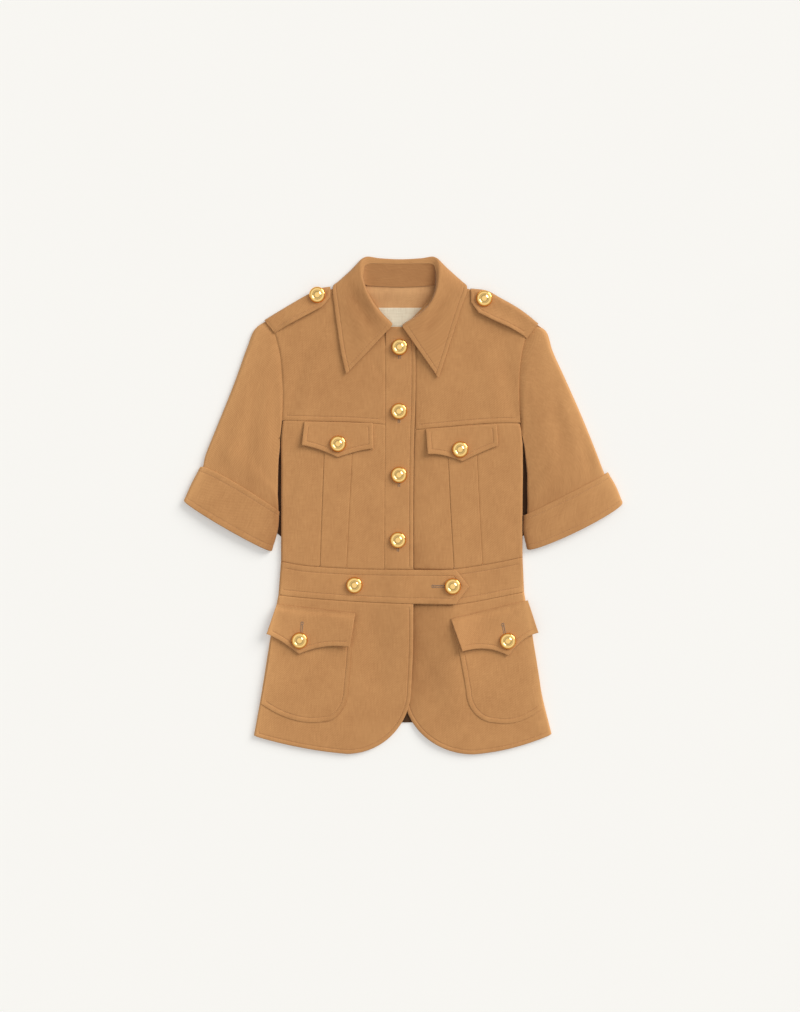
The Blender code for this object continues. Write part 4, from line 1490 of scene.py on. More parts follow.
    def flap(self, cut: FlapCut) -> Shape:
        """Flap whose lower edge runs down to a point.

        Args:
            cut: its outline.

        Returns:
            Its outer face, clear of the pocket or the box pleat under it.
        """
        hip = cut is self.hip_flap
        count = 31
        across = np.append(np.linspace(0.0, cut.point, count), np.linspace(cut.point, 1.0, count)[1:])
        low = np.outer(1.0 - across, cut.low_a) + np.outer(across, cut.low_b)
        before = np.clip(across / cut.point, 0.0, 1.0) ** cut.curve_a
        after = np.clip((1.0 - across) / (1.0 - cut.point), 0.0, 1.0) ** cut.curve_b
        low[:, 1] -= cut.depth * np.where(across <= cut.point, before, after)
        top = np.array((cut.top_a, cut.top_b))

        def over(x: Points, y: Points) -> Points:
            """Outer face of the flap, its lower edge a little lifted.

            Args:
                x: plan positions across.
                y: plan positions up the body, in the same shape.

            Returns:
                Heights in that shape.
            """
            slope = (top[1, 1] - top[0, 1]) / (top[1, 0] - top[0, 0])
            below = top[0, 1] + slope * (x - top[0, 0]) - y
            deep = top[0, 1] + slope * (x - top[0, 0]) - level_at(low, x)
            down = np.clip(below / deep, 0.0, 1.0)
            first = cut.top_a.x + (cut.low_a.x - cut.top_a.x) * down
            last = cut.top_b.x + (cut.low_b.x - cut.top_b.x) * down
            side = np.clip((x - first) / (last - first), 0.0, 1.0)
            corners = (cut.lift_a * (1.0 - side) ** 4 + cut.lift_b * side ** 4) * down ** 0.7
            pocket = (LIE.seam + LIE.lap_wall) * ramp(down, *self.pocket_under)
            under = self.top(x, y) + (pocket if hip else LIE.pleat_height(below))
            return under + LIE.seam + LIE.lap_wall + LIE.flap_lift * down ** 2 + corners

        head, stitch = (Ending.FOLDED, 0.0) if hip else (Ending.SEWN, MIDDLE)
        lean = math.degrees(math.atan2(top[1, 1] - top[0, 1], top[1, 0] - top[0, 0]))
        return Panel([
            Edge(straight(cut.top_a, cut.top_b), head),
            Edge(straight(cut.top_b, low[-1]), Ending.FOLDED, stitch),
            Edge(low[count - 1:][::-1], Ending.FOLDED, MIDDLE),
            Edge(low[:count][::-1], Ending.FOLDED, MIDDLE),
            Edge(straight(low[0], cut.top_a), Ending.FOLDED, stitch),
        ], over, turn=lean).shape()


@dataclass
class Fastening(Assembly):
    """Placket of the right front and the two halves of the waist band, with the pointed tab."""

    placket: Sections
    top_right: Outline
    low_right: Outline
    top_left: Outline
    low_left: Outline
    tab_high: Outline
    tab_low: Outline
    tab_tip: Spot
    # Painted shade on the placket beside the collar leaves' front edges
    collar_edge_painted_shade: tuple[PaintedLightLine, ...]
    wall: float = 1.4

    def build(self) -> None:
        """Make and sew the placket and the band."""
        tan = WARDROBE.tan
        self.cloth("placket", self.lapped_placket(), self.wall, tan, ["front_left", "yoke_left"],
                   deep=self.collar_edge_painted_shade)
        self.cloth("band_left", self.left_band(), self.wall, tan, ["back_band"])
        self.cloth("band_right", self.right_band(), self.wall, tan, ["back_band", "band_left"])
        self.topstitch()

    def lapped_placket(self) -> Shape:
        """Straight band that laps over the left front.

        Returns:
            Its outer face.
        """
        lines = curve(self.placket)
        side, edge = lines[:, 0:2], lines[:, 2:4]
        return Panel([
            Edge(straight(side[0], edge[0]), Ending.FOLDED),
            Edge(edge, Ending.FOLDED, NARROW),
            Edge(straight(edge[-1], side[-1]), Ending.TUCKED, reach=UNDER),
            Edge(side[::-1], Ending.FOLDED, reach=PRESSED),
        ], LIE.lap).shape()

    def right_band(self) -> Shape:
        """Right half of the band with the tab that laps to the left.

        Returns:
            Its outer face.
        """
        high = np.concatenate([curve(self.top_right), np.array(self.tab_high)])
        low = np.concatenate([curve(self.low_right), np.array(self.tab_low)])
        tip = np.array(self.tab_tip)
        return Panel([
            Edge(high, Ending.FOLDED, WIDE, PRESSED),
            Edge(straight(high[-1], tip), Ending.FOLDED, WIDE),
            Edge(straight(tip, low[-1]), Ending.FOLDED, WIDE),
            Edge(low[::-1], Ending.FOLDED, WIDE, PRESSED),
            Edge(straight(low[0], high[0]), Ending.ROLLED),
        ], LIE.lap).shape()

    def left_band(self) -> Shape:
        """Left half of the band, under the tab.

        Returns:
            Its outer face.
        """
        high, low = curve(self.top_left), curve(self.low_left)
        return Panel([
            Edge(high, Ending.FOLDED, WIDE, PRESSED),
            Edge(straight(high[-1], low[-1]), Ending.COVERED),
            Edge(low[::-1], Ending.FOLDED, WIDE, PRESSED),
            Edge(straight(low[0], high[0]), Ending.ROLLED),
        ], LIE.left).shape()


@dataclass
class ShoulderStrap(Assembly):
    """Strap that lies on a yoke and drapes over the shoulder."""

    wearer: Wearer
    top: Height
    upper: Outline
    lower: Outline
    end: Spot
    wall: float = 1.5
    drape: float = 5.6
    sunk: float = 1.5
    lift: float = 3.6
    lift_reach: float = 10.0
    lift_from: float = 0.35

    def build(self) -> None:
        """Make and sew the strap."""
        side = self.wearer.name.lower()
        self.cloth("strap_" + side, self.strap(), self.wall, WARDROBE.tan, ["yoke_" + side])
        self.topstitch()

    def strap(self) -> Shape:
        """Strap from the sleeve to its slanted end by the collar.

        Returns:
            Its outer face.
        """
        upper, lower, end = curve(self.upper), curve(self.lower), np.array(self.end)

        def over(x: Points, y: Points) -> Points:
            """Outer face of the strap, its lower edge lifted away from the sleeve.

            Args:
                x: plan positions across.
                y: plan positions up the body, in the same shape.

            Returns:
                Heights in that shape.
            """
            above = y - level_at(lower, x)
            inward = (x - lower[0, 0]) / (lower[-1, 0] - lower[0, 0])
            lift = self.lift * ramp(inward, 0.0, self.lift_from) * np.exp(-((above / self.lift_reach) ** 2))
            return self.top(x, y) + LIE.seam + LIE.wall + lift

        lean = math.degrees(math.atan2(lower[-1, 1] - lower[0, 1], lower[-1, 0] - lower[0, 0]))
        return Panel([
            Edge(upper, Ending.DRAPED, reach=self.drape),
            Edge(straight(upper[-1], end), Ending.FOLDED, NARROW),
            Edge(straight(end, lower[-1]), Ending.FOLDED, NARROW),
            Edge(lower[::-1], Ending.FOLDED, NARROW),
            Edge(straight(lower[0], upper[0]), Ending.TUCKED, reach=self.sunk),
        ], over, turn=lean).shape()


@dataclass
class Arm(Assembly):
    """Sleeve and turned-up cuff, two flattened tubes."""

    wearer: Wearer
    sleeve: tuple[Ring, ...]
    cuff: tuple[Ring, ...]
    head_drop: tuple[float, ...]
    wall: float = 1.5
    crown: float = 3.6
    cuff_crown: float = 2.8
    cuff_relief: float = 0.6
    softness: float = 0.8
    sleeve_rows: int = 54
    cuff_rows: int = 9
    curl_points: int = 7
    flat_points: int = 34
    overlap: float = 1.6
    underarm: Pair = (3.0, 22.0)
    entry: Pair = (1.1, 0.6)
    # Weight and reach of the painted shade at the inner ends of the cuff and sleeve and in the sleeve's crook
    inner_painted_shade: Pair = (1.5, 9.0)
    crook_painted_shade: Pair = (0.35, 18.0)

    def build(self) -> None:
        """Make and sew the sleeve and the cuff."""
        side = self.wearer.name.lower()
        tan = WARDROBE.tan
        # Painted shade at the inner ends, next to the body, and in the crook of the sleeve
        deep = [PaintedLightLine(curve(self.cuff)[:, 2:4], *self.inner_painted_shade)]
        upper = curve(self.cuff)[0]
        crook = straight(upper[2:4], 0.5 * (upper[0:2] + upper[2:4]))
        self.cloth("sleeve_" + side, self.sleeve_tube(), self.wall, tan, ["back_bodice"],
                   deep=[*deep, PaintedLightLine(crook, *self.crook_painted_shade)])
        self.cloth("cuff_" + side, self.cuff_tube(), self.wall, tan, ["sleeve_" + side], deep=deep)
        self.topstitch()

    def outer_fold(self) -> Points:
        """Outer folds of the sleeve and the cuff, near which painted light pales the cloth."""
        return np.concatenate([curve(self.sleeve)[:, 0:2], curve(self.cuff)[:, 0:2]])

    def ring_points(self, line: Points, crown: float) -> Points:
        """One closed ring, over the top from its outer fold and back underneath.

        Args:
            line: the numbers of a Ring.
            crown: how far the middle of the upper side stands up.

        Returns:
            Points round the ring.
        """
        outer, inner = line[0:2], line[2:4]
        bow, height, base = line[4:7]
        reach = inner - outer
        length = np.linalg.norm(reach)
        end = 0.5 * height / length
        turns = np.radians(np.linspace(0.0, 90.0, self.curl_points))
        curl = end * (1.0 - np.cos(turns))
        flat = np.linspace(end, 1.0 - end, self.flat_points)[1:-1]
        shares = np.concatenate([curl, flat, 1.0 - curl[::-1]])
        half = 0.5 * height * np.concatenate([np.sin(turns), np.ones(len(flat)), np.sin(turns[::-1])])
        spread = np.sqrt(shares * (1.0 - shares)) if bow < 0.0 else np.sqrt(shares) * (1.0 - shares)
        out = -self.wearer.value * bow * spread / length
        across = outer + np.outer(shares, reach) + np.outer(out, (-reach[1], reach[0]))
        middle = base + 0.5 * height
        soft = np.sin(math.pi * shares) ** self.softness
        folds = LIE.folds(across[:, 0], across[:, 1]) * np.minimum(half / half.max(), 1.0) ** 2
        over = np.column_stack([across, middle + half + crown * soft + folds * min(1.0, crown)])
        under = np.column_stack([across, middle - half])
        return np.concatenate([over, under[-2:0:-1]])[::-self.wearer.value]

    def sleeve_tube(self) -> Shape:
        """Sleeve from the armhole to inside the cuff.

        Returns:
            Its outer face.
        """
        at = np.linspace(0.0, 1.0, self.sleeve_rows)
        lines = through(self.sleeve, at)
        lines[:, 6] = np.clip(lines[:, 6], self.sleeve[0].base, self.sleeve[-1].base)
        crown = self.crown * ramp(at, 0.0, 0.5) * ramp(at, *self.entry)
        face = np.stack([self.ring_points(line, rise) for line, rise in zip(lines, crown)])
        free = ramp(np.linalg.norm(face[..., 0:2] - lines[:, None, 2:4], axis=2), *self.underarm)
        drop = np.zeros(face.shape[:2])
        drop[:len(self.head_drop)] = np.array(self.head_drop)[:, None]
        face = face - Loft(face, ring=True).normals() * (drop * free)[..., None]
        ahead = face[1] - face[0]
        face[0] -= ahead / np.linalg.norm(ahead, axis=1)[:, None] * self.overlap * free[0][:, None]
        return Loft(face, ring=True).shape()

    def cuff_tube(self) -> Shape:
        """Cuff with a topstitched edge at both ends.

        Returns:
            Its outer face.
        """
        stations = EDGE.stations()
        length = along(curve(self.cuff)[:, 0:2])[-1]
        at = graded(np.array([length]), stations, stations, self.cuff_rows)[0]
        lines = through(self.cuff, at)
        face = np.stack([self.ring_points(line, self.cuff_crown) for line in lines])
        away = np.minimum(at, 1.0 - at) * length
        padding = EDGE.relief(away)[:, None, None]
        face = face + Loft(face, ring=True).normals() * self.cuff_relief * padding
        rows = (EDGE.stitched(), len(at) - 1 - EDGE.stitched())
        lines = [np.concatenate([face[row], face[row, :1]]) for row in rows]
        return Loft(face, ring=True).shape(lines)


@dataclass
class CollarSet(Assembly):
    """Collar stand and the pointed fall that folds over it, and what shows inside the neck."""

    right: tuple[CollarCut, ...]
    left: tuple[CollarCut, ...]
    facing: Sections
    label: Sections
    creases: tuple[Fold, ...]
    # Painted shade on the stand, facing and label inside the collar's roll, and along the troughs of the
    # fall's leaves
    deep: tuple[PaintedLightLine, ...]
    leaf_painted_shade: tuple[PaintedLightLine, ...]
    facing_lie: Pair = (1.6, 0.9)
    label_lie: Pair = (2.9, 0.8)
    stand_wall: float = 1.1
    fall_wall: float = 1.2
    brow: float = 0.12
    brow_at: float = 0.65
    leaf_from: float = 0.12
    sewn_from: float = 0.9
    stitch_clear: float = 0.4
    stand_rows: int = 121
    stand_columns: int = 9
    probes: int = 161
    steps_round: int = 110
    steps_over: int = 26
    smoothing: int = 6
    tip: float = 3.4
    neck_drop: float = 1.5
    neck_span: Pair = (297.0, 305.0)

    def build(self) -> None:
        """Make and sew the collar, the facing and the label."""
        deep = self.deep
        lift, wall = self.facing_lie
        facing = self.lining(self.facing, lift)
        self.cloth("back_facing", facing, wall, WARDROBE.facing, ["back_bodice"], deep=deep)
        lift, wall = self.label_lie
        label = self.lining(self.label, lift)
        self.cloth("neck_label", label, wall, WARDROBE.label, ["back_facing"], deep=deep)
        self.cloth("collar_stand", self.stand(), self.stand_wall, WARDROBE.stand, ["back_bodice"], deep=deep)
        under = ["yoke_right", "yoke_left", "collar_stand"]
        self.cloth("collar_fall", self.fall(), self.fall_wall, WARDROBE.tan, under, deep=self.leaf_painted_shade)
        self.topstitch()

    def rows(self) -> list[CollarCut]:
        """Lines over the collar from the right front end round the back to the left."""
        return [*self.right[::-1], *self.left]

    def lining(self, sections: Sections, lift: float) -> Shape:
        """Flat piece on the inside of the back.

        Args:
            sections: its lines across.
            lift: height of its face above the back.

        Returns:
            Its outer face.
        """
        lines = curve(sections)
        side, edge = lines[:, 0:2], lines[:, 2:4]

        def over(x: Points, y: Points) -> Points:
            """Face of the piece, which passes under the collar's neck seam."""
            return LIE.back(x, y) + lift - self.neck_drop * ramp(y, *self.neck_span)

        return Panel([
            Edge(straight(side[0], edge[0]), Ending.FOLDED),
            Edge(edge, Ending.COVERED),
            Edge(straight(edge[-1], side[-1]), Ending.COVERED),
            Edge(side[::-1], Ending.COVERED),
        ], over, depth=8.0).shape()

    def stand(self) -> Shape:
        """Stand, its inner face toward the neck.

        Returns:
            Its inner face.
        """
        lines = curve(self.rows(), self.stand_rows)
        up = np.linspace(0.0, 1.0, self.stand_columns)[None, :, None]
        face = lines[:, None, 0:3] * (1.0 - up) + lines[:, None, 3:6] * up
        return Loft(face).shape()

    def surface(self, over: Points, round_neck: Points) -> Points:
        """Points of the fall.

        Args:
            over: shares of the way from the stand over the fold to the outer edge.
            round_neck: shares of the way round, in the same shape.

        Returns:
            Points, along a last axis.
        """
        lines = through(self.rows(), round_neck)
        top, fold, edge, hang = lines[..., 3:6], lines[..., 6:9], lines[..., 9:12], lines[..., 12]
        rise = fold - top
        start = top + rise / np.linalg.norm(rise, axis=-1)[..., None] * LIE.seam
        brow = (1.0 - self.brow_at) * start + self.brow_at * fold + np.array((0.0, 0.0, LIE.collar_wall))
        near = np.clip(over / self.brow, 0.0, 1.0)[..., None]
        rest = 1 - near
        climb = start * rest * (1 - 2 * near) + brow * 4 * near * rest + fold * near * (2 * near - 1)
        share = np.clip((over - self.brow) / (1.0 - self.brow), 0.0, 1.0)
        fall = fold + (edge - fold) * share[..., None]
        fall[..., 2] = edge[..., 2] + (fold[..., 2] - edge[..., 2]) * (1.0 - share) ** hang
        return np.where((over < self.brow)[..., None], climb, fall)

    def layout(self) -> tuple[Points, Points, Points, Points]:
        """Where the fall's points lie, close together near its edges and drawn in at its two points.

        Returns:
            Shares of the way over and round, and distances from the outer edge and from the front ends.
        """
        stations = EDGE.stations()
        wide, turned = np.linspace(0.0, 1.0, FINE), np.linspace(0.0, 1.0, self.probes)
        probe = self.surface(*np.meshgrid(wide, turned))
        widths = np.sum(np.linalg.norm(np.diff(probe, axis=1), axis=2), axis=1)
        rounds = np.sum(np.linalg.norm(np.diff(probe, axis=0), axis=2), axis=0)
        middle = graded(np.array([rounds.mean()]), stations, stations, self.steps_round)[0]
        width = np.interp(middle, turned, widths)
        over = graded(width, (0.0,), stations, self.steps_over)
        lengths = np.interp(over, wide, rounds)
        row, column = np.arange(len(middle))[:, None], np.arange(over.shape[1])[None]
        way = graded(lengths, stations, stations, self.steps_round)[row, column, row]
        width = width[:, None]
        near_edge = np.clip(1.0 - (1.0 - over) * width / self.tip, 0.0, 1.0)
        near_end = np.clip(1.0 - np.minimum(way, 1.0 - way) * lengths / self.tip, 0.0, 1.0)
        over = over - near_edge * (1.0 - np.sqrt(1.0 - near_end ** 2 / 2.0)) * self.tip / width
        shift = near_end * (1.0 - np.sqrt(1.0 - near_edge ** 2 / 2.0)) * self.tip / lengths
        way = way + np.where(way < 0.5, shift, -shift)
        return over, way, (1.0 - over) * width, np.minimum(way, 1.0 - way) * lengths

    def fall(self) -> Shape:
        """Fall: up from the stand, over the fold and out to the edge with its two points.

        Returns:
            Its outer face.
        """
        over, way, from_edge, from_front = self.layout()
        face = self.surface(over, way)
        kept = len(EDGE.stations())
        for _ in range(self.smoothing):
            inner = (face[:, :-2] + 2.0 * face[:, 1:-1] + face[:, 2:]) / 4.0
            face[:, 1:-kept] = inner[:, :1 - kept]
        on_leaf = ramp(over, self.brow, self.brow + self.leaf_from)
        face[..., 2] += relief(self.creases, face[..., 0], face[..., 1]) * on_leaf
        face[..., 2] = np.maximum(face[..., 2], 0.0)
        inside = from_edge > EDGE.stitch - self.stitch_clear
        along_front = np.where(inside, EDGE.relief(from_front) * on_leaf, EDGE.puff)
        padding = np.minimum(EDGE.relief(from_edge), along_front)
        face = face + Loft(face).normals() * padding[..., None]
        first = EDGE.stitched()
        last, column = len(face) - 1 - first, face.shape[1] - 1 - first
        start = int(np.argmax(on_leaf[0] > self.sewn_from))
        return Loft(face).shape([
            face[first, start:column + 1],
            face[first:last + 1, column],
            face[last, start:column + 1],
        ])


@dataclass
class BackPanels(Assembly):
    """Back bodice, band and skirt, flat on the floor under the fronts."""

    bodice: Sections
    band: Sections
    skirt: Sections
    hem_rise: float = 14.0
    rows: tuple[int, int, int] = (120, 12, 50)
    columns: int = 60
    # Weight and reach of the painted shade along the bodice's sides
    side_painted_shade: Pair = (1.5, 40.0)
    clear: float = 1.2
    # How far the bodice spreads out under each sleeve, between these heights, so that its near-black painted
    # shade fills the slot beside the sleeve
    seam_reach: float = 14.0
    arm_top: Pair = (132.0, 120.0)
    arm_low: Pair = (-50.0, -34.0)

    def build(self) -> None:
        """Make the three pieces."""
        # The upper face takes the near-black painted shade, the faces below and the rims the tan
        inside, tan = WARDROBE.inside, WARDROBE.tan
        lines = curve(self.bodice)
        deep = [PaintedLightLine(side, *self.side_painted_shade) for side in (lines[:, 0:2], lines[:, 2:4])]
        bodice, band, skirt = self.rows
        self.cloth("back_bodice", self.panel(self.bodice, bodice, 0.0), LIE.wall, inside, [], tan, deep)
        self.cloth("back_band", self.panel(self.band, band, 0.0), LIE.wall, inside, [], tan)
        self.cloth("back_skirt", self.panel(self.skirt, skirt, self.hem_rise), LIE.wall, inside, [], tan)

    def panel(self, sections: Sections, rows: int, hem_rise: float) -> Shape:
        """One piece of the back.

        Args:
            sections: its lines from side to side.
            rows: number of rows down it.
            hem_rise: how far its lower edge is hollowed.

        Returns:
            Its inner face, which looks up.
        """
        lines = curve(sections, rows)
        across = np.linspace(0.0, 1.0, self.columns)
        share = across[None, :, None]
        spots = lines[:, None, 0:2] * (1.0 - share) + lines[:, None, 2:4] * share
        beside_arm = ramp(lines[:, 1], *self.arm_top) * ramp(lines[:, 1], *self.arm_low)
        inward = self.clear - self.seam_reach * beside_arm
        spots[..., 0] += inward[:, None] * (1.0 - 2.0 * across)[None]
        down = np.linspace(0.0, 1.0, rows)[:, None]
        spots[..., 1] += hem_rise * 4.0 * (across * (1.0 - across))[None] * down ** 2
        height = LIE.back(spots[..., 0], spots[..., 1])
        face = np.concatenate([spots, height[..., None]], axis=2)
        return Loft(face).shape()


class ButtonSpot(NamedTuple):
    """Where a button sits and what it lies on."""

    name: str
    x: float
    y: float
    seat: Seat


@dataclass
class Buttons:
    """Metal buttons with a rolled rim, a channel and a small dome, modelled once and copied."""

    spots: tuple[ButtonSpot, ...]
    radius: float = 11.4
    sides: int = 64
    # Shares of the radius over which the painted reflection at the rim gives way to the plain gold
    painted_light_and_shade: Pair = (0.96, 0.76)
    smooth_below: float = 50.0
    outline: Outline = (
        (0.93, 0.0), (0.985, 0.2), (1.0, 0.7), (0.995, 1.4), (0.98, 2.2), (0.95, 3.1), (0.91, 3.75),
        (0.87, 4.12), (0.82, 4.38), (0.75, 4.55), (0.68, 4.6), (0.62, 4.52), (0.575, 4.28), (0.54, 4.0),
        (0.51, 3.92), (0.48, 4.05), (0.43, 4.42), (0.35, 4.86), (0.25, 5.18), (0.14, 5.36), (0.03, 5.4),
    )

    def level(self, spot: ButtonSpot) -> float:
        """Height of the highest cloth under a button.

        Args:
            spot: the button's place.

        Returns:
            That height in millimetres.
        """
        turns = np.linspace(0.0, 2.0 * math.pi, 12, endpoint=False)
        x = spot.x + self.radius * np.append(np.cos(turns), 0.0)
        y = spot.y + self.radius * np.append(np.sin(turns), 0.0)
        under = (LIE.right if spot.x < 0 else LIE.left)(x, y)
        flap = LIE.seam + LIE.lap_wall
        extra = {
            Seat.LAP: 0.0,
            Seat.CHEST: LIE.pleat + flap + LIE.flap_lift,
            Seat.HIP: 2.0 * flap + LIE.flap_lift,
            Seat.STRAP: LIE.seam + LIE.wall,
        }
        if spot.seat is Seat.LAP:
            under = LIE.lap(x, y)
        return float(np.max(under) + extra[spot.seat] + LIE.seam)

    def model(self) -> Piece:
        """The button at the origin, extruded ring by ring from its back to its crown.

        Returns:
            The mesh object that copies are made of.
        """
        bpy.ops.object.select_all(action="DESELECT")
        first = self.outline[0]
        bpy.ops.mesh.primitive_circle_add(
            vertices=self.sides, radius=first[0] * self.radius * MM, fill_type="NGON")
        button = bpy.context.object
        bpy.ops.object.mode_set(mode="EDIT")
        bpy.ops.mesh.select_all(action="SELECT")
        for before, after in zip(self.outline, self.outline[1:]):
            rise = (after[1] - before[1]) * MM
            bpy.ops.mesh.extrude_region_move(TRANSFORM_OT_translate={"value": (0.0, 0.0, rise)})
            grow = after[0] / before[0]
            bpy.ops.transform.resize(value=(grow, grow, 1.0), center_override=(0.0, 0.0, after[1] * MM))
        bpy.ops.mesh.poke()
        bpy.ops.mesh.select_all(action="SELECT")
        bpy.ops.mesh.normals_make_consistent(inside=False)
        bpy.ops.object.mode_set(mode="OBJECT")
        only(button)
        bpy.ops.object.shade_smooth_by_angle(angle=math.radians(self.smooth_below))
        out = np.array([vertex.co.xy.length for vertex in button.data.vertices]) / (self.radius * MM)
        # Painted reflection: low at the rim, where the material mixes in the amber that stands for the
        # reflected cloth
        rub = button.data.attributes.new(PAINTED_LIGHT_SHADE, "FLOAT", "POINT")
        rub.data.foreach_set("value", ramp(out, *self.painted_light_and_shade).astype(np.float32))
        return button

    def build(self) -> None:
        """Copy the button to each of its places."""
        pattern = self.model()
        for spot in self.spots:
            mesh = pattern.data.copy()
            piece = bpy.data.objects.new("button_" + spot.name + "_gold", mesh)
            bpy.context.scene.collection.objects.link(piece)
            place = Vector((spot.x, spot.y, self.level(spot))) * MM
            for vertex in mesh.vertices:
                vertex.co += place
            WARDROBE.dress(piece, WARDROBE.gold)
            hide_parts("button_" + spot.name)
        bpy.data.objects.remove(pattern, do_unlink=True)


class HoleSpot(NamedTuple):
    """Ends of a buttonhole and the height of the cloth around it."""

    start: Spot
    end: Spot
    level: Height
    eye: bool = True


@dataclass
class Buttonholes:
    """Worked buttonholes: close cross stitches along both lips of a slit and round the eye at its end."""

    spots: tuple[HoleSpot, ...]
    pitch: float = 0.6
    lip: float = 0.5
    reach: float = 1.3
    eye: float = 1.0
    eye_stitches: int = 16
    thread: float = 0.3
    sink: float = 0.15

    def build(self) -> None:
        """Sew all buttonholes as one piece."""
        lines = []
        for spot in self.spots:
            start, end = np.array(spot.start), np.array(spot.end)
            ahead = (end - start) / np.linalg.norm(end - start)
            aside = np.array((-ahead[1], ahead[0]))
            pairs = []
            for place in np.arange(0.0, np.linalg.norm(end - start) - self.eye, self.pitch):
                for lip in (-1.0, 1.0):
                    near = start + ahead * place + aside * lip * self.lip
                    pairs.append((near, near + aside * lip * self.reach))
            for turn in np.linspace(0.0, 2.0 * math.pi, self.eye_stitches * spot.eye, endpoint=False):
                out = np.array((math.cos(turn), math.sin(turn)))
                pairs.append((end + out * self.eye, end + out * (self.eye + self.reach)))
            for pair in pairs:
                both = np.stack(pair)
                lines.append(np.column_stack([both, spot.level(both[:, 0], both[:, 1])]))
        threads = Stitches("buttonhole_thread", self.reach, 0.0, self.thread, sink=self.sink, lines=lines)
        threads.sew(WARDROBE.hole_thread)


@dataclass
class Studio:
    """Pale floor, soft light and a camera that looks straight down."""

    floor: PaleFloor = PaleFloor("pale_floor", (0.925, 0.917, 0.890))
    floor_size: float = 8.0
    key_from: tuple[float, float, float] = (0.78, 0.58, 0.58)
    key_spread: float = 34.0
    key_power: float = 2.4
    key_colour: Colour = (1.0, 0.985, 0.96)
    sky: float = 0.95
    sky_low: float = 0.46
    sky_patch: Pair = (0.7, 0.92)
    sky_colour: Colour = (1.0, 0.995, 0.985)
    camera_height: float = 3.0
    camera_aim: Pair = (-0.0045, -0.0007)
    view_height: float = 1.4168
    sensor: float = 36.0

    def soft_sky(self) -> bpy.types.World:
        """Even soft light all round with a brighter patch overhead.

        Returns:
            The world.
        """
        sky = Shader(bpy.data.worlds.new("studio"), "Background")
        where = sky.node("ShaderNodeTexCoord", {}, {}, "Generated")
        upward = sky.node("ShaderNodeSeparateXYZ", {}, {"Vector": where}, "Z")
        strength = sky.node("ShaderNodeMapRange", {"interpolation_type": "SMOOTHSTEP"}, {
            "Value": upward,
            "From Min": self.sky_patch[0],
            "From Max": self.sky_patch[1],
            "To Min": self.sky_low,
            "To Max": self.sky,
        })
        return sky.finish({"Color": opaque(self.sky_colour), "Strength": strength})

    def build(self) -> None:
        """Set up the floor, the light, the sky and the camera."""
        bpy.ops.object.select_all(action="DESELECT")
        bpy.ops.mesh.primitive_plane_add(size=self.floor_size, location=(0.0, 0.0, 0.0))
        plane = bpy.context.object
        plane.name = "floor"
        plane.data.transform(plane.matrix_world)
        plane.data.materials.append(self.floor.material())
        light = bpy.data.lights.new("key", "SUN")
        light.energy = self.key_power
        light.angle = math.radians(self.key_spread)
        light.color = self.key_colour
        key = bpy.data.objects.new("key", light)
        key.location = self.key_from
        key.rotation_euler = (-Vector(self.key_from)).to_track_quat("-Z", "Y").to_euler()
        bpy.context.scene.collection.objects.link(key)
        bpy.context.scene.world = self.soft_sky()
        lens = bpy.data.cameras.new("camera")
        lens.sensor_width = self.sensor
        lens.lens = self.sensor * self.camera_height / self.view_height
        camera = bpy.data.objects.new("camera", lens)
        camera.location = (*self.camera_aim, self.camera_height)
        bpy.context.scene.collection.objects.link(camera)
        bpy.context.scene.camera = camera
        bpy.context.scene.view_settings.view_transform = "Standard"


YOKE_SEAM_RIGHT = ((-168.6, 118.9), (-120.0, 117.6), (-70.0, 116.4), (-25.4, 113.4))
YOKE_SEAM_LEFT = ((163.4, 114.1), (129.9, 114.1), (65.5, 109.9), (16.2, 105.7))
WAIST_TOP_RIGHT = (
    (-171.0, -78.4), (-144.5, -83.3), (-102.5, -86.9), (-60.0, -89.0), (-26.5, -89.6))
WAIST_TOP_LEFT = (
    (167.0, -72.5), (135.5, -79.1), (107.5, -84.0), (74.0, -88.8), (-22.0, -89.2))
WAIST_LOW_RIGHT = (
    (-174.6, -124.9), (-144.5, -128.1), (-102.5, -131.6), (-60.0, -134.3), (14.0, -137.2))
WAIST_LOW_LEFT = (
    (169.1, -120.8), (135.5, -127.4), (107.5, -133.0), (73.9, -137.9), (-2.0, -137.6))


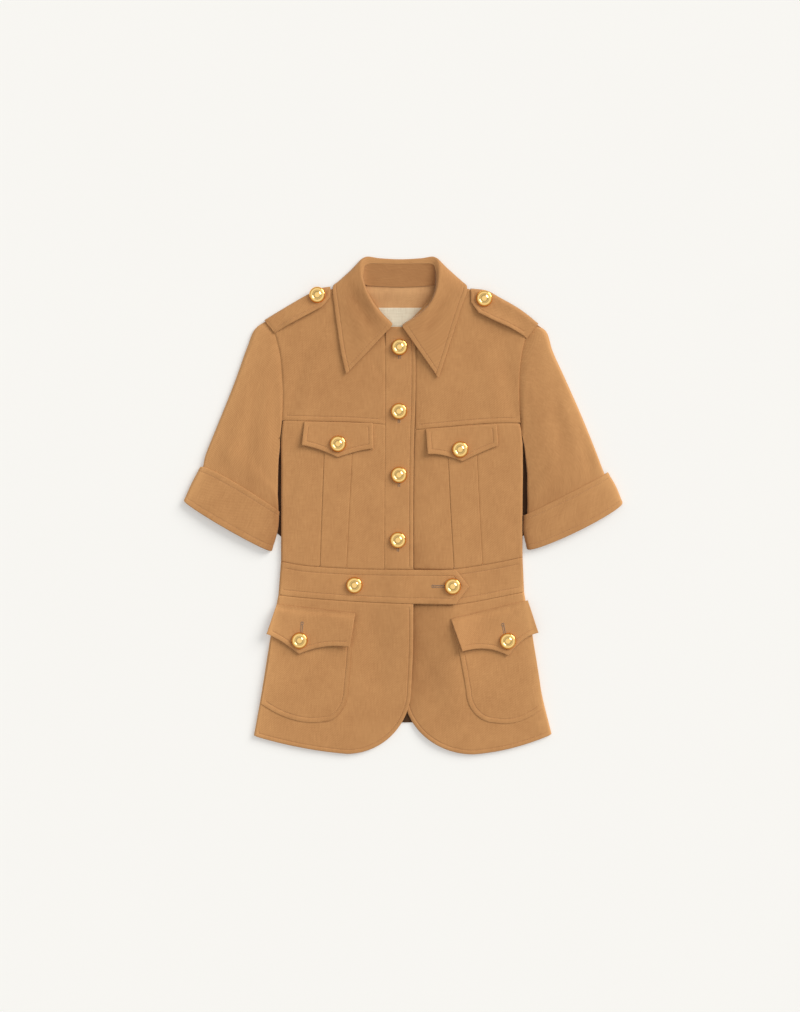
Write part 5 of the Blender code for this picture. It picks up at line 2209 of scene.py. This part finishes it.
RIGHT_HALF = FrontHalf(
    "front_right", Wearer.RIGHT, LIE.right,
    arm=Armhole(Spot(-195.6, 256.9), Spot(-172.4, 90.3), 43.0),
    arm_end=0.83,
    shoulder=(
        (-187.4, 257.8), (-157.5, 278.8), (-131.0, 293.4), (-112.7, 300.6),
        (-97.0, 303.6), (-60.0, 310.0)),
    neck_edge=(
        (-60.0, 310.0), (-53.5, 301.0), (-44.5, 286.5), (-35.0, 272.0),
        (-29.0, 262.0), (-26.0, 250.0)),
    closing=(Ending.TUCKED, 0.6),
    yoke_seam=YOKE_SEAM_RIGHT,
    waist_top=WAIST_TOP_RIGHT,
    waist_low=WAIST_LOW_RIGHT,
    front=(
        Section(-168.6, 118.9, -25.4, 113.4), Section(-170.9, 100.0, -25.2, 88.0),
        Section(-170.8, 60.0, -25.6, 50.0), Section(-170.9, 0.0, -26.2, -10.0),
        Section(-170.9, -45.0, -26.5, -55.0), Section(-171.0, -78.4, -26.5, -89.6)),
    pleat=(PleatLine(0.4275, 0.382), PleatLine(0.6945, 0.634)),
    skirt=(
        Section(-174.6, -124.9, 14.0, -137.2), Section(-179.5, -150.0, 13.9, -163.0),
        Section(-186.0, -185.5, 13.7, -195.0), Section(-191.8, -222.0, 12.7, -226.0),
        Section(-197.0, -255.0, 11.2, -255.5)),
    hem=Round(Spot(-78.7, -255.5), Spot(89.9, 91.7), Spot(-208.9, -322.0), 3.6),
    pocket=(
        Section(-178.5, -151.0, -68.3, -163.0), Section(-183.7, -184.1, -71.3, -195.3),
        Section(-188.6, -219.1, -73.8, -227.5), Section(-194.2, -251.3, -76.6, -255.5)),
    pocket_low=Round(Spot(-110.9, -255.5), Spot(34.3, 46.6), Spot(-198.7, -276.9), 9.5),
    chest_flap=FlapCut(
        Spot(-138.2, 117.4), Spot(-42.3, 115.3), Spot(-141.7, 84.0), Spot(-41.6, 79.1),
        0.503, 14.5, 1.5, 1.4, 3.2, 0.6),
    hip_flap=FlapCut(
        Spot(-176.7, -137.9), Spot(-66.8, -150.1), Spot(-190.7, -179.2), Spot(-74.5, -197.4),
        0.39, 21.0, 1.35, 2.0, 2.2, 5.0),
    arm_seam=(Ending.TUCKED, 1.4),
    # Painted shade: under the collar's V, a broad patch across the yoke, beside the hip flap's inner edge,
    # and along the pocket's front edge
    yoke_painted_shade=(
        PaintedLightLine(straight((-16.0, 251.0), (-42.0, 223.0)), 0.45, 6.0),
        PaintedLightLine(straight((-130.0, 190.0), (-60.0, 170.0)), 0.2, 60.0)),
    skirt_painted_shade=(PaintedLightLine(straight((-67.0, -153.0), (-73.0, -185.0)), 0.9, 4.0),),
    pocket_painted_shade=1.2,
)


LEFT_HALF = FrontHalf(
    "front_left", Wearer.LEFT, LIE.left,
    arm=Armhole(Spot(188.7, 254.1), Spot(167.6, 90.3), -46.0),
    arm_end=0.84,
    shoulder=(
        (180.6, 255.0), (162.5, 272.0), (134.5, 287.6), (118.0, 296.0),
        (94.0, 302.6), (54.0, 310.0)),
    neck_edge=(
        (54.0, 310.0), (47.8, 301.0), (38.5, 287.0), (27.0, 273.0), (16.4, 262.0)),
    closing=(Ending.LAPPED, 1.5),
    yoke_seam=YOKE_SEAM_LEFT,
    waist_top=(*WAIST_TOP_LEFT[:-1], (13.2, -89.1)),
    waist_low=WAIST_LOW_LEFT,
    front=(
        Section(163.4, 114.1, 16.2, 105.7), Section(166.6, 98.0, 14.7, 80.0),
        Section(167.5, 60.0, 14.0, 45.0), Section(167.0, 0.0, 13.2, -10.0),
        Section(167.0, -45.0, 13.2, -58.0), Section(167.0, -72.5, 13.2, -89.1)),
    pleat=(PleatLine(0.438, 0.367), PleatLine(0.696, 0.624)),
    skirt=(
        Section(169.1, -120.8, -2.0, -137.6), Section(173.8, -148.0, -2.0, -165.0),
        Section(180.3, -180.0, -1.6, -195.0), Section(187.0, -220.0, -1.0, -228.0),
        Section(192.9, -258.3, -0.3, -258.3)),
    hem=Round(Spot(97.7, -258.3), Spot(-98.0, 89.6), Spot(207.6, -319.9), 5.0),
    pocket=(
        Section(176.2, -144.5, 68.6, -170.0), Section(181.0, -184.1, 76.7, -198.1),
        Section(187.3, -223.3, 83.0, -230.3), Section(192.0, -255.5, 87.9, -258.3)),
    pocket_low=Round(Spot(128.5, -258.3), Spot(-40.6, 45.2), Spot(194.6, -283.0), 8.5),
    chest_flap=FlapCut(
        Spot(31.2, 107.4), Spot(130.6, 113.8), Spot(34.0, 71.4), Spot(132.7, 83.3),
        0.489, 16.0, 1.7, 1.2, 3.6, 0.6),
    hip_flap=FlapCut(
        Spot(66.2, -157.9), Spot(174.0, -132.3), Spot(82.3, -203.0), Spot(188.7, -177.5),
        0.605, 22.4, 2.3, 2.2, 6.5, 1.0),
    arm_seam=(Ending.FOLDED, 0.3),
    # Painted shade: under the collar's V, above the band beside the placket, and on the skirt where the right
    # front laps over it
    yoke_painted_shade=(PaintedLightLine(straight((0.0, 250.0), (24.0, 214.0)), 0.45, 6.0),),
    front_painted_shade=(
        PaintedLightLine(np.array(((15.0, -66.0), (15.0, -80.0), (15.0, -90.0), (34.0, -90.0))), 0.55, 13.0),),
    skirt_painted_shade=(PaintedLightLine(straight((14.0, -138.0), (13.0, -240.0), 35), 0.8, 21.0),),
)


FASTENING = Fastening(
    "fastening",
    placket=(
        Section(-24.5, 249.5, 17.2, 249.5), Section(-24.5, 160.0, 17.2, 160.0),
        Section(-25.0, 80.0, 15.0, 80.0), Section(-25.8, 0.0, 14.0, 0.0),
        Section(-26.1, -89.2, 14.0, -89.6)),
    top_right=WAIST_TOP_RIGHT,
    low_right=WAIST_LOW_RIGHT,
    top_left=WAIST_TOP_LEFT,
    low_left=WAIST_LOW_LEFT,
    tab_high=((16.5, -90.0), (74.0, -90.3)),
    tab_low=((16.5, -137.0), (73.0, -137.8)),
    tab_tip=Spot(92.0, -113.0),
    # Painted shade on the placket along the collar leaves' front edges
    collar_edge_painted_shade=(
        PaintedLightLine(straight((-14.0, 250.0), (-26.0, 240.0)), 0.6, 6.0),
        PaintedLightLine(straight((-2.0, 250.0), (17.0, 224.0)), 0.6, 6.0)),
)


STRAPS = (
    ShoulderStrap(
        "strap_right", Wearer.RIGHT, LIE.right,
        upper=(
            (-192.0, 260.6), (-179.5, 268.4), (-158.5, 281.0), (-132.0, 296.0),
            (-113.7, 304.4), (-101.8, 306.2)),
        lower=((-176.9, 242.0), (-162.7, 250.6), (-144.5, 260.4), (-113.2, 277.0)),
        end=Spot(-101.6, 291.0),
        sunk=0.5),
    ShoulderStrap(
        "strap_left", Wearer.LEFT, LIE.left,
        upper=(
            (187.0, 256.0), (177.0, 264.5), (163.6, 274.4), (135.6, 290.6),
            (117.5, 300.4), (94.0, 303.6)),
        lower=(
            (170.6, 235.0), (160.0, 241.8), (148.0, 248.4), (126.0, 258.4),
            (105.0, 268.8)),
        end=Spot(94.3, 284.0)),
)


SLEEVE_HEIGHT = 7.0
CUFF_HEIGHT = 8.6
ENTRY_HEIGHT = 6.0


ARMS = (
    Arm(
        "arm_right", Wearer.RIGHT,
        sleeve=(
            Ring(-195.6, 256.9, -172.4, 90.3, 43.0, SLEEVE_HEIGHT, 0.0),
            Ring(-207.5, 246.4, -172.4, 81.9, 36.0, SLEEVE_HEIGHT, 0.0),
            Ring(-217.3, 223.3, -173.8, 67.9, 29.0, SLEEVE_HEIGHT, 0.0),
            Ring(-235.5, 172.9, -174.8, 46.9, 22.0, SLEEVE_HEIGHT, 0.0),
            Ring(-260.7, 109.9, -175.2, 23.1, 16.0, SLEEVE_HEIGHT, 0.0),
            Ring(-269.0, 89.5, -175.4, 15.0, 15.0, SLEEVE_HEIGHT, 0.7),
            Ring(-277.0, 68.5, -174.8, 6.0, 14.0, ENTRY_HEIGHT, 1.6),
            Ring(-280.4, 52.0, -174.4, -7.0, 13.0, ENTRY_HEIGHT, 1.6),
            Ring(-300.6, 11.2, -186.5, -56.0, -10.0, ENTRY_HEIGHT, 1.6)),
        cuff=(
            Ring(-283.8, 53.9, -173.0, -8.0, 13.0, CUFF_HEIGHT, 0.0),
            Ring(-295.7, 31.5, -175.2, -34.3, 2.0, CUFF_HEIGHT, 0.0),
            Ring(-306.6, 7.0, -183.7, -63.7, -9.5, CUFF_HEIGHT, 0.0)),
        head_drop=(1.2, 0.35)),
    Arm(
        "arm_left", Wearer.LEFT,
        sleeve=(
            Ring(188.7, 254.1, 167.6, 90.3, 46.0, SLEEVE_HEIGHT, 0.0),
            Ring(199.2, 244.3, 168.8, 85.0, 38.0, SLEEVE_HEIGHT, 0.0),
            Ring(208.3, 217.7, 170.6, 70.7, 30.0, SLEEVE_HEIGHT, 0.0),
            Ring(226.5, 177.1, 173.0, 46.9, 20.0, SLEEVE_HEIGHT, 0.0),
            Ring(251.7, 119.7, 173.3, 21.7, 10.0, SLEEVE_HEIGHT, 0.0),
            Ring(262.5, 93.0, 173.5, 12.0, 5.0, SLEEVE_HEIGHT, 0.7),
            Ring(271.5, 70.0, 173.7, 2.0, 1.0, ENTRY_HEIGHT, 1.6),
            Ring(279.8, 48.0, 173.2, -10.0, -4.0, ENTRY_HEIGHT, 1.6),
            Ring(301.0, 8.4, 175.0, -55.3, -12.0, ENTRY_HEIGHT, 1.6)),
        cuff=(
            Ring(286.0, 46.9, 168.2, -13.3, -4.0, CUFF_HEIGHT, 0.0),
            Ring(297.9, 25.9, 168.0, -37.1, -11.0, CUFF_HEIGHT, 0.0),
            Ring(306.6, 4.2, 173.0, -61.0, -17.0, CUFF_HEIGHT, 0.0)),
        head_drop=(2.8, 1.5, 0.5)),
)


COLLAR = CollarSet(
    "collar",
    right=(
        (-3.8, 305.5, 4.9, -3.8, 337.5, 4.4, -3.8, 346.9, 2.3, -3.8, 300.3, 0.0, 14.0),
        (-34.0, 306.5, 4.9, -33.0, 337.8, 4.4, -32.5, 348.6, 2.3, -43.7, 300.3, 0.0, 14.0),
        (-49.5, 307.5, 5.2, -49.5, 337.0, 5.4, -53.0, 350.6, 3.4, -75.0, 301.7, 0.0, 9.0),
        (-53.0, 308.5, 6.2, -54.2, 332.0, 7.4, -58.4, 343.6, 6.6, -94.6, 309.0, 3.0, 2.4),
        (-53.8, 306.5, 7.0, -55.0, 324.5, 8.6, -59.0, 335.5, 9.2, -98.6, 306.3, 7.2, 1.4),
        (-53.6, 303.0, 7.4, -55.8, 317.5, 9.6, -58.8, 327.0, 11.5, -98.6, 299.0, 9.4, 1.2),
        (-50.0, 295.5, 7.6, -51.8, 303.5, 11.0, -54.4, 308.7, 15.0, -97.2, 283.5, 9.6, 1.2),
        (-41.6, 283.0, 7.6, -42.2, 284.6, 12.0, -44.4, 285.2, 16.5, -92.8, 251.3, 10.0, 1.2),
        (-29.8, 268.4, 7.6, -29.8, 269.0, 11.4, -31.5, 267.7, 16.0, -87.0, 213.5, 10.6, 1.2),
        (-15.6, 254.4, 7.6, -15.4, 254.6, 9.4, -14.3, 251.6, 14.2, -80.2, 182.6, 10.8, 1.0)),
    left=(
        (26.4, 306.5, 4.9, 25.4, 337.8, 4.4, 24.9, 348.6, 2.3, 36.1, 300.3, 0.0, 14.0),
        (40.5, 307.5, 4.8, 40.5, 337.0, 5.4, 43.6, 350.6, 4.2, 67.5, 301.7, 0.0, 9.0),
        (43.6, 308.5, 5.4, 44.2, 332.0, 7.4, 48.6, 343.6, 8.4, 87.6, 308.6, 3.0, 2.4),
        (44.4, 306.5, 5.8, 45.6, 324.5, 8.8, 50.0, 335.5, 11.4, 89.6, 305.4, 7.2, 1.4),
        (44.0, 303.0, 6.2, 46.0, 317.5, 9.8, 49.8, 327.0, 13.4, 88.8, 297.5, 9.4, 1.2),
        (42.4, 295.5, 7.6, 45.0, 303.5, 11.0, 48.3, 308.7, 15.6, 82.8, 280.7, 9.6, 1.2),
        (36.0, 282.4, 7.6, 37.2, 284.2, 12.0, 39.5, 285.0, 16.5, 73.2, 251.3, 10.0, 1.2),
        (21.8, 267.4, 7.6, 21.8, 268.0, 11.4, 23.5, 266.5, 16.0, 61.6, 214.9, 10.6, 1.2),
        (-0.4, 252.8, 7.6, -0.6, 253.0, 9.4, -2.0, 249.8, 14.2, 49.4, 177.4, 10.8, 1.0)),
    facing=(
        Section(-58.0, 311.0, 52.0, 311.0), Section(-54.0, 285.0, 49.0, 285.0),
        Section(-46.0, 262.0, 42.0, 262.0), Section(-34.0, 245.0, 30.0, 245.0)),
    label=(Section(-35.0, 276.5, 29.0, 276.5), Section(-35.0, 245.0, 29.0, 245.0)),
    creases=(
        Fold(-57.0, 274.0, 121.0, 34.0, 11.0, -2.3), Fold(-72.0, 232.0, 104.0, 30.0, 12.0, -0.5),
        Fold(45.0, 264.0, 58.0, 30.0, 10.0, -2.3), Fold(60.0, 226.0, 70.0, 26.0, 11.0, -0.4)),
    # Painted shade: the right end of the stand, facing and label inside the roll, and the troughs of both
    # leaves
    deep=(
        PaintedLightLine(curve((
            (44.0, 340.0), (46.0, 322.0), (44.0, 303.0), (34.5, 284.0), (21.0, 268.0))), 2.0, 7.0),),
    leaf_painted_shade=(
        PaintedLightLine(straight((-69.0, 294.0), (-46.0, 256.0)), 0.85, 12.0),
        PaintedLightLine(straight((56.0, 282.0), (36.0, 250.0)), 0.55, 9.0)),
)


BACK = BackPanels(
    "back",
    bodice=(
        Section(-97.0, 295.6, 93.5, 293.2), Section(-131.0, 285.8, 134.0, 280.4),
        Section(-159.0, 269.6, 160.5, 264.4), Section(-182.5, 253.0, 176.4, 250.4),
        Section(-178.6, 240.0, 171.0, 238.0), Section(-173.0, 222.0, 165.6, 220.0),
        Section(-169.0, 196.0, 161.8, 194.0), Section(-167.0, 150.0, 160.6, 148.0),
        Section(-166.0, 130.0, 160.2, 128.0), Section(-164.5, 118.0, 159.2, 116.0),
        Section(-164.6, 102.0, 160.0, 100.0), Section(-166.2, 80.0, 162.0, 76.0),
        Section(-166.8, 0.0, 162.8, 0.0), Section(-166.9, -77.5, 162.8, -77.5)),
    band=(Section(-166.9, -77.8, 162.8, -77.8), Section(-170.4, -124.0, 164.8, -124.0)),
    skirt=(
        Section(-170.4, -124.3, 164.8, -124.3), Section(-182.0, -185.0, 176.4, -182.0),
        Section(-192.0, -250.0, 187.4, -250.0), Section(-204.0, -318.5, 202.6, -316.5)),
)


BUTTON_SPOTS = (
    ButtonSpot("placket_1", -5.2, 221.2, Seat.LAP),
    ButtonSpot("placket_2", -5.9, 131.6, Seat.LAP),
    ButtonSpot("placket_3", -5.9, 42.7, Seat.LAP),
    ButtonSpot("placket_4", -7.3, -48.3, Seat.LAP),
    ButtonSpot("chest_right", -91.0, 86.1, Seat.CHEST),
    ButtonSpot("chest_left", 79.5, 78.1, Seat.CHEST),
    ButtonSpot("band_right", -68.2, -111.3, Seat.LAP),
    ButtonSpot("band_left", 69.0, -112.7, Seat.LAP),
    ButtonSpot("hip_right", -144.5, -188.3, Seat.HIP),
    ButtonSpot("hip_left", 146.0, -189.0, Seat.HIP),
    ButtonSpot("strap_right", -120.0, 294.0, Seat.STRAP),
    ButtonSpot("strap_left", 113.1, 289.0, Seat.STRAP),
)


def over_hip(top: Height, lifted: float = 0.4) -> Height:
    """Face of a hip flap near its buttonhole."""
    rise = 2.0 * (LIE.seam + LIE.lap_wall) + lifted * LIE.flap_lift
    return lambda x, y: top(x, y) + rise


HOLE_SPOTS = (
    *(HoleSpot(Spot(x, high), Spot(x, low), LIE.lap, eye=False) for x, high, low in (
        (-5.2, 218.0, 204.2), (-5.9, 128.0, 114.2), (-5.9, 39.0, 25.4), (-7.3, -52.0, -65.4))),
    HoleSpot(Spot(64.0, -112.7), Spot(41.5, -112.7), LIE.lap),
    HoleSpot(Spot(-143.0, -184.0), Spot(-141.0, -164.0), over_hip(LIE.right)),
    HoleSpot(Spot(143.0, -185.0), Spot(139.0, -166.0), over_hip(LIE.left)),
)


def main() -> None:
    """Build the jacket from the floor up and light it."""
    logging.basicConfig(level=logging.INFO, format="%(name)s %(message)s")
    WARDROBE.body_folds = np.concatenate([LEFT_HALF.outer_fold(), RIGHT_HALF.outer_fold()])
    for assembly in (BACK, LEFT_HALF, RIGHT_HALF, *ARMS, FASTENING, *STRAPS, COLLAR):
        LOG.info("assembly %s", assembly.title)
        assembly.build()
    Buttons(BUTTON_SPOTS).build()
    Buttonholes(HOLE_SPOTS).build()
    Studio().build()


if __name__ == "__main__":
    main()
